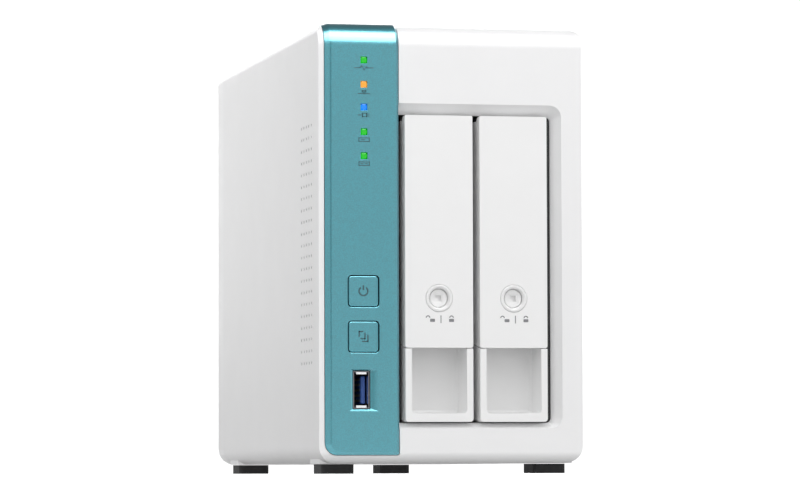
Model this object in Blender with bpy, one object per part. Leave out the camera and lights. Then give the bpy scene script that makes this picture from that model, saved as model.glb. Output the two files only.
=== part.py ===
"""Two-bay desktop network attached storage, built as an assembly of separate pieces.

Dimensions below are in millimetres, and every mesh is made in metres. +Z is up, the front faces
-Y, and the origin is on the floor under the middle of the housing. depth(d) is the y of a plane
d millimetres behind the front face of the bezel.
"""

import math

import bmesh
import bpy
from mathutils import Matrix, Vector

MM = 0.001
GAP = 0.3

# Housing
WIDTH = 102.0
HEIGHT = 169.0
BODY_DEPTH = 219.0
PANEL_PROUD = 1.0
FRONT = -(BODY_DEPTH - PANEL_PROUD) / 2
REAR = FRONT + BODY_DEPTH
UNDERSIDE = 3.8
HALF_WIDTH = WIDTH / 2
BOTTOM_CORNER = 6.5
TOP_CORNER = 3.5
FRONT_TOP_ROUND = 8.0
FRONT_BOTTOM_ROUND = 4.3
REAR_ROUND = 3.5
WALL = 2.0
BEZEL_BAND = 3.6
REAR_BAND = 12.0
REAR_WALL = 2.5
BASE_HALF_WIDTH = 44.2
PAST = 1.0  # how far a cutter runs past the face that it opens
SHELF_HALF_WIDTH = 49.0
SHELF_TOP = 7.5
BOSS_REACH = 3.5
BOSS_LENGTH = 16.0
PILOT_RADIUS = 1.8
PILOT_DEPTH = 14.0
PLATE_START = 4.4
POST_DEPTHS = (30.0, 150.0)
POST_RADIUS = 3.0
POST_INSET = 4.0
INTAKE_SLOTS = 8
INTAKE_START = 60.0
INTAKE_PITCH = 10.0
INTAKE_WIDTH = 3.0
INTAKE_SPAN = (-2.0, 26.0)

# Feet
FOOT_SIZE = (12.6, 16.0)
FOOT_HEIGHT = 3.6
FOOT_CORNER = 1.0
FEET = {
    "foot_front_left": (-41.8, 18.2),
    "foot_front_right": (40.4, 18.2),
    "foot_rear_left": (-42.0, 192.0),
    "foot_rear_right": (18.2, 192.0),
}

# Accent panel and what shows through it
PANEL_LEFT = -48.7
PANEL_RIGHT = -20.3
PANEL_BOTTOM = 7.0
PANEL_INSET = 0.8
PANEL_END = 10.0
PANEL_CORNER = 4.5
PANEL_INNER_CORNER = 0.8
STRIP_X = -34.05
LED_X = -33.7
LED_SIZE = 2.15
LED_CORNER = 0.6
LED_GAP = 0.2
LEDS = {
    "led_status": 155.5,
    "led_network": 146.3,
    "led_usb": 137.7,
    "led_drive_1": 128.4,
    "led_drive_2": 119.35,
}
BUTTON_SIZE = 11.5
BUTTON_HOLE = 12.1
BUTTON_TRAVEL = 1.0
BUTTON_CORNER = 1.2
BUTTON_HOLE_CORNER = 1.4
CAP_BACK = 4.2
FLANGE_BACK = 5.0
FLANGE_LIP = 0.8
STEM_HALF = 2.0
STEM_BACK = 8.6
SWITCH_HALF = 3.0
BUTTONS = {"power": 68.4, "copy": 51.3}
USB_WIDTH = 6.2
USB_HEIGHT = 14.0
USB_SHELL = 0.4
USB_X = -34.8
USB_Z = 31.4
USB_RECESS = 0.2
USB_BACK_WALL = 0.6
TONGUE_HALF_WIDTH = 0.9
TONGUE_HALF_HEIGHT = 5.2
TONGUE_OFFSET = 1.1

# Tray opening in the bezel: the bevel narrows it over BEVEL_DEPTH on three sides
OPENING_LEFT = PANEL_RIGHT
OPENING_RIGHT = 39.1
OPENING_BOTTOM = 19.1
OPENING_TOP = 135.5
BEVEL_RIGHT = 42.5
BEVEL_BOTTOM = 16.9
BEVEL_TOP = 139.5
BEVEL_DEPTH = 5.0
COLLAR_DEPTH = 6.0
MOUTH_CORNER = 4.5
THROAT_CORNER = 1.8

# Trays
TRAY_CENTRES = {1: -4.7, 2: 24.2}
TRAY_HALF = 13.1
TRAY_BOTTOM = 19.4
TRAY_TOP = 135.1
TRAY_STRIP = 2.45
TRAY_FLOOR = 3.2
POCKET_DEPTH = 15.0
TRAY_BACK = 17.0
HINGE_DEPTH = 3.2
HINGE_Z = TRAY_TOP - HINGE_DEPTH
EAR_RADIUS = 1.6

# The split between a tray and its flap, seen from the side: a level lip, a gentle rise to the rear
# of the deep lower flange, that flange's sloped shoulder, and the shallow upper flange
SPLIT_LIP = 1.0
SPLIT_FRONT = 47.0
SPLIT_REAR = 49.3
LEVER_DEPTH = 13.0
LEVER_TOP = 71.0
SHOULDER_TOP = 73.5
FLANGE_DEPTH = 8.0
FLAP_EDGE = 1.0
FLAP_SKIN = 3.0
CARRIER_LEFT = -14.0
CARRIER_RIGHT = 13.6
CARRIER_PLATE = 1.2
CARRIER_BOTTOM = 22.9
CARRIER_TOP = 131.6
CARRIER_END = 171.0
RAIL = 3.2
LOCK_Z = 66.0
LOCK_RING = 5.15
LOCK_PLUG = 3.5
LOCK_FACE = 0.6
LOCK_PROUD = 0.3
BARREL_BACK = 9.5
PLUG_BACK = 11.0
CAM = (1.6, 10.2, 12.0, 6.5)  # half width, front, rear and reach
KEY_DEPTH = 5.0
KEY = [(-1.3, 1.3), (-1.3, -0.3), (-0.3, -0.3), (-0.3, -1.3), (1.3, -1.3), (1.3, 1.3)]
EAR_INNER = 8.7
EAR_OUTER = 10.35
EAR_HOLE = 1.0
PIN_RADIUS = 0.7
NOTCH_INNER = 8.4
NOTCH_REACH = 2.0
NOTCH_DROP = 5.0
HOLLOW_DROP = 3.4
CARRIER_WINDOWS = 5
CARRIER_WINDOW_START = 34.0
CARRIER_WINDOW_PITCH = 27.0
CARRIER_WINDOW_WIDTH = 14.0
CARRIER_WINDOW_HALF_HEIGHT = 38.0
WINDOW_CORNER = 3.0

# A 3.5 inch hard drive
DRIVE_FRONT = 22.0
DRIVE_LENGTH = 147.0
DRIVE_HEIGHT = 101.6
DRIVE_THICKNESS = 26.1
DRIVE_Z = (CARRIER_BOTTOM + CARRIER_TOP) / 2
DRIVE_SCREWS = [(y, z) for y in (83.3, 127.7) for z in (-47.0, 47.0)]
DRIVE_CORNER = 3.0
LID_CORNER = 8.0
LID_STEP = 1.0
LID_MARGIN = 4.0
LID_REAR_MARGIN = 9.0
DRIVE_SOCKET = (1.7, 6.7, 3.5, 36.0, 79.0)  # left, right, depth, bottom and top
DRIVE_SCREW = (2.7, 1.1, 1.5, 5.0)  # head radius, head height, shank radius and length
DRIVE_HOLE_RADIUS = 1.8
DRIVE_HOLE_DEPTH = 3.8
SCREW_ACCESS = 3.0

# Drive cage and boards
CAGE_LEFT = -19.3
CAGE_RIGHT = 38.4
CAGE_BOTTOM = 18.8
CAGE_TOP = 135.8
CAGE_WALL = 1.6
CAGE_END = 172.0
CAGE_WINDOWS = 4
CAGE_WINDOW_START = 40.0
CAGE_WINDOW_PITCH = 30.0
CAGE_WINDOW_WIDTH = 12.0
CAGE_WINDOW_SPAN = (50.0, 104.0)
RAIL_OFFSETS = (-11.0, 8.0)
RAIL_WIDTH = 3.0
RIDGE_HALF = 0.35
RIDGE_TOPS = (26.0, 128.6)
BOARD = 1.6
MAIN_BOARD_X = -25.0
MAIN_BOARD = (19.0, 205.0, 16.0, 150.0)  # front, rear, bottom and top
FRONT_BOARD_DEPTH = 14.5
FRONT_BOARD = (-46.0, -22.6, 20.0, 160.0)  # left, right, bottom and top
BACKPLANE = (-24.4, 37.0, 30.0, 125.0)
BACKPLANE_WINDOW = (2.0, 11.0, 44.0, 112.0)
PLUG = (2.0, 4.4, 167.5, 36.3, 78.7)  # offset, width, front, bottom and top
CELL = (50.0, 36.0, 10.0, 3.2)  # depth, height, radius and thickness
SINK_SIZE = 40.0
SINK_DEPTH = 76.0
SINK_BOTTOM = 72.0
SINK_BASE = 2.0
SINK_HEIGHT = 12.0
FINS = 9
FIN = 1.6
MODULE = (1.2, 2.4, 132.0, 162.0, 60.0, 127.6)  # near and far side, front, rear, bottom, top
MODULE_SOCKET = (0.0, 3.8, 128.0, 134.0, 58.0, 129.6)
CHIPS = 4
CHIP = (1.8, 3.6, 142.0, 154.0, 64.0, 75.0)
CHIP_PITCH = 16.0

# Fan
FAN_SIZE = 70.0
FAN_THICKNESS = 25.0
FAN_X = 10.5
FAN_Z = 85.0
FAN_BORE = 33.8
FAN_HOLES = 30.0
FAN_REAR = BODY_DEPTH - REAR_WALL - GAP
BLADES = 7
BLADE_PITCH = -52.0
BLADE_HALF = (0.8, 9.5)  # half its thickness and half its chord
BLADE_SPAN = (11.5, 34.0)
HUB_RADIUS = 13.0
ROTOR_RADIUS = 32.4
ROTOR_FRONT = 2.8
ROTOR_REAR = 4.5
FAN_CORNER = 4.0
FAN_HOLE_RADIUS = 2.0
STRUT_THICKNESS = 2.7
STRUT_HALF = 1.5
GRILLE_BARS = 11
GRILLE_PITCH = 5.6
GRILLE_HALF = 1.7
GRILLE_CORNER = 1.6

# Rear sockets, along the edge of the main board
SOCKET_RIGHT = MAIN_BOARD_X - BOARD - GAP
SOCKET_REAR = BODY_DEPTH - GAP
LAN_Z = {1: 120.0, 2: 100.0}
LAN_SIZE = (13.5, 21.0, 16.0)
LAN_MOUTH_DEPTH = 14.0
LAN_MOUTH = (2.0, 10.0, 12.0, 5.9, 3.0)  # left, step, right, half height and half of the step
REAR_USB_LENGTH = 17.0
REAR_USB_Z = {1: 74.7, 2: 54.7}
DC_Z = 25.5
DC_SIZE = 11.0
DC_LENGTH = 14.0
DC_BORE = 3.3
DC_BORE_DEPTH = 10.0
DC_PIN = 1.0
DC_PIN_INSET = 1.5
RESET_X = -33.6
RESET_Z = 143.0
RESET_HOLE = 1.2
RESET_RADIUS = 0.85
RESET_COLLAR = 2.0
RESET_FRONT = 206.0
RESET_COLLAR_SPAN = (210.0, 211.5)
LOCK_SLOT = (36.5, 39.5, 16.5, 23.5)
COVER_SCREWS = {"cover_screw_left": -42.5, "cover_screw_right": 42.5}
COVER_SCREW_Z = 159.0
SCREW_SEAT = 0.2
SEAT_HOLE = 2.0
SEAT_RADIUS = 3.3
SEAT_DEPTH = 1.9
COVER_SCREW_LENGTH = 24.0
FAN_SCREW_LENGTH = 12.0


def depth(d):
    """The y of a plane d millimetres behind the front face."""
    return FRONT + d


# --- Mesh helpers -------------------------------------------------------------------------------


def shape(bm):
    """Turns a closed bmesh in millimetres into an object in metres."""
    bmesh.ops.recalc_face_normals(bm, faces=bm.faces)
    bmesh.ops.scale(bm, vec=(MM, MM, MM), verts=bm.verts)
    mesh = bpy.data.meshes.new("shape")
    bm.to_mesh(mesh)
    bm.free()
    obj = bpy.data.objects.new("shape", mesh)
    bpy.context.scene.collection.objects.link(obj)
    return obj


def point(axis, level, u, v):
    """A point at level on an axis, with u and v along the two other axes in X, Y, Z order."""
    return {"X": (level, u, v), "Y": (u, level, v), "Z": (u, v, level)}[axis]


def loft(axis, sections):
    """A solid through outlines at successive levels along an axis."""
    bm = bmesh.new()
    rings = [
        [bm.verts.new(point(axis, level, u, v)) for u, v in outline] for level, outline in sections
    ]
    for low, high in zip(rings, rings[1:]):
        for i in range(len(low)):
            bm.faces.new((low[i - 1], low[i], high[i], high[i - 1]))
    bm.faces.new(rings[0])
    bm.faces.new(rings[-1])
    return shape(bm)


def prism(axis, low, high, outline):
    return loft(axis, [(low, outline), (high, outline)])


def box(x0, x1, y0, y1, z0, z1):
    return prism("Z", z0, z1, [(x0, y0), (x1, y0), (x1, y1), (x0, y1)])


def arc(u, v, radius, start, end, steps):
    """Points from the angle start to end, in degrees, about u, v."""
    angles = [math.radians(start + (end - start) * i / steps) for i in range(steps + 1)]
    return [(u + radius * math.cos(a), v + radius * math.sin(a)) for a in angles]


def circle(u, v, radius, sides=24):
    return arc(u, v, radius, 0, 360, sides)[:-1]


def rounded(u0, u1, v0, v1, radii, steps=4):
    """A rectangle with a radius at its lower left, lower right, upper right and upper left."""
    corners = [(u0, v0, 1, 1), (u1, v0, -1, 1), (u1, v1, -1, -1), (u0, v1, 1, -1)]
    outline = []
    for i, ((u, v, side, rise), radius) in enumerate(zip(corners, radii)):
        if radius == 0:
            outline.append((u, v))
            continue
        start = 180 + 90 * i
        outline += arc(u + side * radius, v + rise * radius, radius, start, start + 90, steps)
    return outline


def combine(obj, other, operation):
    modifier = obj.modifiers.new("Boolean", "BOOLEAN")
    modifier.operation = operation
    modifier.solver = "EXACT"
    modifier.object = other
    graph = bpy.context.evaluated_depsgraph_get()
    before = obj.data
    result = bpy.data.meshes.new_from_object(obj.evaluated_get(graph))
    obj.modifiers.clear()
    obj.data = result
    bpy.data.meshes.remove(before)
    bpy.data.objects.remove(other)
    return obj


def join(obj, *others):
    for other in others:
        combine(obj, other, "UNION")
    return obj


def cut(obj, *others):
    for other in others:
        combine(obj, other, "DIFFERENCE")
    return obj


def common(obj, other):
    return combine(obj, other, "INTERSECT")


def material(name, colour, roughness, metallic=0.0):
    made = bpy.data.materials.get(name)
    if made:
        return made
    made = bpy.data.materials.new(name)
    made.use_nodes = True
    surface = made.node_tree.nodes["Principled BSDF"]
    surface.inputs["Base Color"].default_value = (*colour, 1.0)
    surface.inputs["Roughness"].default_value = roughness
    surface.inputs["Metallic"].default_value = metallic
    return made


def finish(obj, name, surface, origin=(0.0, 0.0, 0.0), parent=None):
    """Names a finished piece and puts its origin at a point given in millimetres."""
    place = Vector(origin) * MM
    obj.data.transform(Matrix.Translation(-place))
    obj.name = name
    obj.data.name = name
    obj.location = place
    obj.data.materials.clear()
    obj.data.materials.append(surface)
    obj.data.shade_smooth()
    obj.data.set_sharp_from_angle(angle=math.radians(35))
    if parent:
        bpy.context.view_layer.update()
        obj.parent = parent
        obj.matrix_parent_inverse = parent.matrix_world.inverted()
    return obj


# --- Materials ----------------------------------------------------------------------------------


def white_plastic():
    return material("white_plastic", (0.83, 0.83, 0.83), 0.45)


def teal_satin():
    return material("teal_satin", (0.09, 0.33, 0.39), 0.38, 0.6)


def black_plastic():
    return material("black_plastic", (0.02, 0.02, 0.022), 0.5)


def black_rubber():
    return material("black_rubber", (0.015, 0.015, 0.015), 0.85)


def steel():
    return material("steel", (0.55, 0.56, 0.57), 0.35, 1.0)


def circuit_board():
    return material("circuit_board", (0.01, 0.12, 0.05), 0.5)


def aluminium():
    return material("aluminium", (0.7, 0.71, 0.72), 0.4, 1.0)


# --- Housing ------------------------------------------------------------------------------------


def front_outline(inset=0.0):
    return rounded(
        -HALF_WIDTH + inset,
        HALF_WIDTH - inset,
        UNDERSIDE + inset,
        HEIGHT - inset,
        (BOTTOM_CORNER - inset, BOTTOM_CORNER - inset, TOP_CORNER - inset, TOP_CORNER - inset),
    )


def side_outline(inset=0.0):
    return rounded(
        FRONT + inset,
        REAR - inset,
        UNDERSIDE + inset,
        HEIGHT - inset,
        (
            FRONT_BOTTOM_ROUND - inset,
            REAR_ROUND - inset,
            REAR_ROUND - inset,
            FRONT_TOP_ROUND - inset,
        ),
        steps=6,
    )


def across(outline):
    return prism("X", -WIDTH, WIDTH, outline)


def housing_slice(low, high, inset=0.0):
    """The part of the housing's solid between two depths, inset from its surface."""
    piece = prism("Y", depth(low), depth(high), front_outline(inset))
    return common(piece, across(side_outline(inset)))


def panel_outline(grow=0.0):
    return rounded(
        PANEL_LEFT - grow,
        PANEL_RIGHT + grow,
        PANEL_BOTTOM - grow,
        HEIGHT + 2 * PANEL_PROUD,
        (PANEL_CORNER + grow, PANEL_INNER_CORNER + grow, 0, 0),
    )


def panel_holes(low, high):
    """Cutters for the light pipes, the buttons and the USB socket, between two depths."""
    led = LED_SIZE / 2 + LED_GAP
    button = BUTTON_HOLE / 2
    corners = (BUTTON_HOLE_CORNER,) * 4
    holes = [
        box(LED_X - led, LED_X + led, depth(low), depth(high), z - led, z + led)
        for z in LEDS.values()
    ]
    for z in BUTTONS.values():
        outline = rounded(STRIP_X - button, STRIP_X + button, z - button, z + button, corners)
        holes.append(prism("Y", depth(low), depth(high), outline))
    wide = USB_WIDTH / 2 + GAP
    tall = USB_HEIGHT / 2 + GAP
    holes.append(
        box(USB_X - wide, USB_X + wide, depth(low), depth(high), USB_Z - tall, USB_Z + tall)
    )
    return holes


def panel_recess(grow, inset, end):
    """The space under and outside the accent panel, down to an inset from the housing's face."""
    recess = prism("Y", depth(-2 * PANEL_PROUD), depth(end), panel_outline(grow))
    return cut(recess, across(side_outline(inset)))


def front_bezel():
    bezel = housing_slice(0, BEZEL_BAND)
    collar = box(
        OPENING_LEFT - WALL,
        BEVEL_RIGHT + WALL,
        depth(BEZEL_BAND - PAST),
        depth(COLLAR_DEPTH),
        BEVEL_BOTTOM - WALL,
        BEVEL_TOP + WALL,
    )
    join(bezel, collar)
    wide = (0, MOUTH_CORNER, MOUTH_CORNER, 0)
    narrow = (0, THROAT_CORNER, THROAT_CORNER, 0)
    mouth = rounded(OPENING_LEFT, BEVEL_RIGHT, BEVEL_BOTTOM, BEVEL_TOP, wide)
    throat = rounded(OPENING_LEFT, OPENING_RIGHT, OPENING_BOTTOM, OPENING_TOP, narrow)
    opening = loft(
        "Y",
        [
            (depth(-PAST), mouth),
            (depth(0), mouth),
            (depth(BEVEL_DEPTH), throat),
            (depth(COLLAR_DEPTH + PAST), throat),
        ],
    )
    back = BEZEL_BAND + PAST
    cut(bezel, opening, panel_recess(GAP, PANEL_INSET + GAP, back), *panel_holes(-PAST, back))
    return finish(bezel, "front_bezel", white_plastic())


def accent_panel():
    """A raised strip that follows the front face, rolls over the top edge and ends on the top."""
    panel = panel_recess(0, PANEL_INSET, PANEL_END)
    common(panel, across(side_outline(-PANEL_PROUD)))
    cut(panel, *panel_holes(-2 * PANEL_PROUD, BEZEL_BAND))
    return finish(panel, "accent_panel", teal_satin())


def outer_cover():
    """The wrap of top, sides and lower roundings, with a shelf over each outer foot."""
    start = BEZEL_BAND + GAP
    end = BODY_DEPTH - REAR_BAND - GAP
    cover = housing_slice(start, end)
    hollow = prism("Y", depth(-5), depth(BODY_DEPTH), front_outline(WALL))
    common(hollow, across(side_outline(WALL)))
    join(hollow, prism("Y", depth(FRONT_TOP_ROUND), depth(BODY_DEPTH), front_outline(WALL)))
    slot = box(
        -BASE_HALF_WIDTH, BASE_HALF_WIDTH, depth(0), depth(BODY_DEPTH), 0, SHELF_TOP + PAST
    )
    cut(cover, hollow, slot, panel_recess(GAP, PANEL_INSET + GAP, PANEL_END + GAP))
    half_foot = FOOT_SIZE[1] / 2 + PAST
    for x, y in FEET.values():
        if abs(x) < BASE_HALF_WIDTH - FOOT_SIZE[0]:
            continue
        side = math.copysign(1, x)
        near, far = sorted((side * BASE_HALF_WIDTH, side * SHELF_HALF_WIDTH))
        low = max(start, y - half_foot)
        join(cover, box(near, far, depth(low), depth(y + half_foot), UNDERSIDE, SHELF_TOP))
    for x in COVER_SCREWS.values():
        side = math.copysign(1, x)
        near, far = sorted((x - side * BOSS_REACH, side * (HALF_WIDTH - WALL / 2)))
        low = COVER_SCREW_Z - BOSS_REACH
        boss = box(near, far, depth(end - BOSS_LENGTH), depth(end), low, HEIGHT - WALL / 2)
        join(cover, boss)
        pilot = circle(x, COVER_SCREW_Z, PILOT_RADIUS, 12)
        cut(cover, prism("Y", depth(end - PILOT_DEPTH), depth(end + PAST), pilot))
    return finish(cover, "outer_cover", white_plastic())


def base_plate():
    """The underside, with slots for air and four posts under the drive cage."""
    half = BASE_HALF_WIDTH - GAP
    end = BODY_DEPTH - REAR_BAND - GAP
    plate = box(-half, half, depth(PLATE_START), depth(end), UNDERSIDE, UNDERSIDE + WALL)
    for x in (CAGE_LEFT + POST_INSET, CAGE_RIGHT - POST_INSET):
        for y in POST_DEPTHS:
            post = circle(x, depth(y), POST_RADIUS, 12)
            join(plate, prism("Z", UNDERSIDE + WALL / 2, CAGE_BOTTOM - CAGE_WALL - GAP, post))
    left, right = INTAKE_SPAN
    for i in range(INTAKE_SLOTS):
        y = INTAKE_START + i * INTAKE_PITCH
        cut(plate, box(left, right, depth(y), depth(y + INTAKE_WIDTH), 0, SHELF_TOP))
    return finish(plate, "base_plate", white_plastic())


def screw(x, y_head, z, length, head_radius=2.9, head=1.5, shank=1.6):
    """A screw driven towards the front, with a cross recess in its head."""
    body = prism("Y", y_head - head, y_head, circle(x, z, head_radius, 16))
    join(body, prism("Y", y_head - length, y_head - head / 2, circle(x, z, shank, 12)))
    arm = head_radius * 0.55
    slot = head_radius * 0.12
    recess = [
        (slot, slot), (arm, slot), (arm, -slot), (slot, -slot), (slot, -arm), (-slot, -arm),
        (-slot, -slot), (-arm, -slot), (-arm, slot), (-slot, slot), (-slot, arm), (slot, arm),
    ]
    cross = [(x + u, z + v) for u, v in recess]
    cut(body, prism("Y", y_head - head / 2, y_head + PAST, cross))
    return body


def rear_panel():
    """A cap with the fan grille, the socket cut-outs, screw seats and a security lock slot."""
    start = BODY_DEPTH - REAR_BAND
    wall = BODY_DEPTH - REAR_WALL
    panel = housing_slice(start, BODY_DEPTH)
    cavity = front_outline(REAR_WALL - GAP)
    cut(panel, prism("Y", depth(start - PAST), depth(wall), cavity))
    low = depth(wall - PAST)
    high = depth(BODY_DEPTH + PAST)
    for i in range(GRILLE_BARS):
        x = (i - (GRILLE_BARS - 1) / 2) * GRILLE_PITCH
        reach = math.sqrt((FAN_BORE - PAST) ** 2 - x * x)
        outline = rounded(
            FAN_X + x - GRILLE_HALF,
            FAN_X + x + GRILLE_HALF,
            FAN_Z - reach,
            FAN_Z + reach,
            (GRILLE_CORNER,) * 4,
            2,
        )
        cut(panel, prism("Y", low, high, outline))
    seats = [(FAN_X + u, FAN_Z + v) for u, v in fan_corners()]
    seats += [(x, COVER_SCREW_Z) for x in COVER_SCREWS.values()]
    for x, z in seats:
        cut(panel, prism("Y", low, high, circle(x, z, SEAT_HOLE, 12)))
        seat = circle(x, z, SEAT_RADIUS, 16)
        cut(panel, prism("Y", depth(BODY_DEPTH - SEAT_DEPTH), high, seat))
    sockets = [(z, LAN_SIZE[0], LAN_SIZE[2]) for z in LAN_Z.values()]
    sockets += [(z, USB_WIDTH, USB_HEIGHT) for z in REAR_USB_Z.values()]
    sockets.append((DC_Z, DC_SIZE, DC_SIZE))
    for z, wide, tall in sockets:
        half = tall / 2 + GAP
        left = SOCKET_RIGHT - wide - GAP
        cut(panel, box(left, SOCKET_RIGHT + GAP, low, high, z - half, z + half))
    cut(panel, prism("Y", low, high, circle(RESET_X, RESET_Z, RESET_HOLE, 16)))
    cut(panel, prism("Y", low, high, rounded(*LOCK_SLOT, (RESET_HOLE,) * 4, 2)))
    return finish(panel, "rear_panel", white_plastic())


def feet():
    for name, (x, y) in FEET.items():
        wide, long = FOOT_SIZE
        x0 = x - wide / 2
        y0 = depth(y - long / 2)
        outline = rounded(x0, x0 + wide, y0, y0 + long, (FOOT_CORNER,) * 4, 2)
        finish(prism("Z", 0, FOOT_HEIGHT, outline), name, black_rubber())


def cover_screws():
    for name, x in COVER_SCREWS.items():
        body = screw(x, depth(BODY_DEPTH - SCREW_SEAT), COVER_SCREW_Z, COVER_SCREW_LENGTH)
        finish(body, name, steel())


# --- Front controls -----------------------------------------------------------------------------


def light_pipes():
    green = (0.02, 0.8, 0.1)
    orange = (1.0, 0.3, 0.02)
    blue = (0.05, 0.2, 1.0)
    half = LED_SIZE / 2
    for (name, z), colour in zip(LEDS.items(), (green, orange, blue, green, green)):
        corners = (LED_CORNER,) * 4
        outline = rounded(LED_X - half, LED_X + half, z - half, z + half, corners, 2)
        pipe = prism("Y", depth(-PANEL_PROUD), depth(FRONT_BOARD_DEPTH - GAP), outline)
        finish(pipe, name, material(name, colour, 0.25))


def push_buttons():
    """Square caps with a stop flange behind the bezel and a stem that reaches the switch."""
    half = BUTTON_SIZE / 2
    stop = BUTTON_HOLE / 2 + FLANGE_LIP

    def block(size, z, start, end):
        return box(STRIP_X - size, STRIP_X + size, depth(start), depth(end), z - size, z + size)

    for name, z in BUTTONS.items():
        corners = (BUTTON_CORNER,) * 4
        cap = rounded(STRIP_X - half, STRIP_X + half, z - half, z + half, corners)
        body = prism("Y", depth(-PANEL_PROUD), depth(CAP_BACK), cap)
        flange = block(stop, z, BEZEL_BAND + GAP, FLANGE_BACK)
        stem = block(STEM_HALF, z, (CAP_BACK + FLANGE_BACK) / 2, STEM_BACK)
        join(body, flange, stem)
        finish(body, name + "_button", teal_satin(), (STRIP_X, depth(-PANEL_PROUD), z))
        seat = STEM_BACK + BUTTON_TRAVEL + GAP
        switch = block(SWITCH_HALF, z, seat, FRONT_BOARD_DEPTH - GAP)
        finish(switch, name + "_switch", black_plastic())


def usb_tongue(x, z, y_start, y_end):
    y0, y1 = sorted((y_start, y_end))
    half = TONGUE_HALF_WIDTH
    return box(x - half, x + half, y0, y1, z - TONGUE_HALF_HEIGHT, z + TONGUE_HALF_HEIGHT)


def usb_shell(x, z, y_mouth, y_back):
    """A hollow socket shell, open at y_mouth."""
    wide = USB_WIDTH / 2
    tall = USB_HEIGHT / 2
    inward = math.copysign(1, y_back - y_mouth)
    y0, y1 = sorted((y_mouth, y_back))
    shell = box(x - wide, x + wide, y0, y1, z - tall, z + tall)
    y0, y1 = sorted((y_mouth - inward * PAST, y_back - inward * USB_BACK_WALL))
    wide -= USB_SHELL
    tall -= USB_SHELL
    return cut(shell, box(x - wide, x + wide, y0, y1, z - tall, z + tall))


def front_usb():
    back = FRONT_BOARD_DEPTH - GAP
    mouth = depth(USB_RECESS)
    finish(usb_shell(USB_X, USB_Z, mouth, depth(back)), "front_usb_shell", steel())
    end = depth(back - USB_BACK_WALL - GAP)
    tongue = usb_tongue(USB_X + TONGUE_OFFSET, USB_Z, mouth + PAST, end)
    finish(tongue, "front_usb_tongue", material("usb_blue", (0.02, 0.12, 0.6), 0.4))


def front_board():
    left, right, low, high = FRONT_BOARD
    start = depth(FRONT_BOARD_DEPTH)
    finish(box(left, right, start, start + BOARD, low, high), "front_io_board", circuit_board())


# --- Trays --------------------------------------------------------------------------------------


def tray(number, centre):
    """The pocketed front, the two hinge ears and the open carrier that holds one drive."""
    left = centre - TRAY_HALF
    right = centre + TRAY_HALF
    sides = [
        (depth(0), TRAY_BOTTOM),
        (depth(TRAY_BACK), TRAY_BOTTOM),
        (depth(TRAY_BACK), HINGE_Z + EAR_RADIUS),
        (depth(FLANGE_DEPTH), HINGE_Z + EAR_RADIUS),
        (depth(FLANGE_DEPTH), SHOULDER_TOP),
        (depth(LEVER_DEPTH), LEVER_TOP),
        (depth(LEVER_DEPTH), SPLIT_REAR),
        (depth(SPLIT_LIP), SPLIT_FRONT),
        (depth(0), SPLIT_FRONT),
    ]
    body = prism("X", left, right, sides)
    pocket = box(
        left + TRAY_STRIP,
        right - TRAY_STRIP,
        depth(-PAST),
        depth(POCKET_DEPTH),
        TRAY_BOTTOM + TRAY_FLOOR,
        HEIGHT,
    )
    cut(body, pocket)
    for side in (-1, 1):
        near, far = sorted((centre + side * EAR_INNER, centre + side * EAR_OUTER))
        tip = arc(depth(HINGE_DEPTH), HINGE_Z, EAR_RADIUS, 90, 270, 8)
        root = depth(POCKET_DEPTH + PAST)
        ear = tip + [(root, HINGE_Z - EAR_RADIUS), (root, HINGE_Z + EAR_RADIUS)]
        join(body, prism("X", near, far, ear))
        hole = circle(depth(HINGE_DEPTH), HINGE_Z, EAR_HOLE, 12)
        cut(body, prism("X", near - GAP, far + GAP / 2, hole))
    start = depth((POCKET_DEPTH + TRAY_BACK) / 2)
    end = depth(CARRIER_END)
    low_x = centre + CARRIER_LEFT
    high_x = centre + CARRIER_RIGHT
    frame = [
        (low_x, CARRIER_BOTTOM),
        (high_x, CARRIER_BOTTOM),
        (high_x, CARRIER_BOTTOM + RAIL),
        (low_x + CARRIER_PLATE, CARRIER_BOTTOM + RAIL),
        (low_x + CARRIER_PLATE, CARRIER_TOP - RAIL),
        (high_x, CARRIER_TOP - RAIL),
        (high_x, CARRIER_TOP),
        (low_x, CARRIER_TOP),
    ]
    join(body, prism("Y", start, end, frame))
    reach = CARRIER_WINDOW_HALF_HEIGHT
    corners = (WINDOW_CORNER,) * 4
    windows = []
    for i in range(CARRIER_WINDOWS):
        y = depth(CARRIER_WINDOW_START + i * CARRIER_WINDOW_PITCH)
        far = y + CARRIER_WINDOW_WIDTH
        windows.append(rounded(y, far, DRIVE_Z - reach, DRIVE_Z + reach, corners, 2))
    windows += [circle(depth(y), DRIVE_Z + z, SCREW_ACCESS, 12) for y, z in DRIVE_SCREWS]
    for outline in windows:
        cut(body, prism("X", low_x - PAST, low_x + CARRIER_PLATE + GAP, outline))
    origin = (centre, depth(0), TRAY_BOTTOM)
    return finish(body, f"tray_{number}", white_plastic(), origin)


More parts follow.
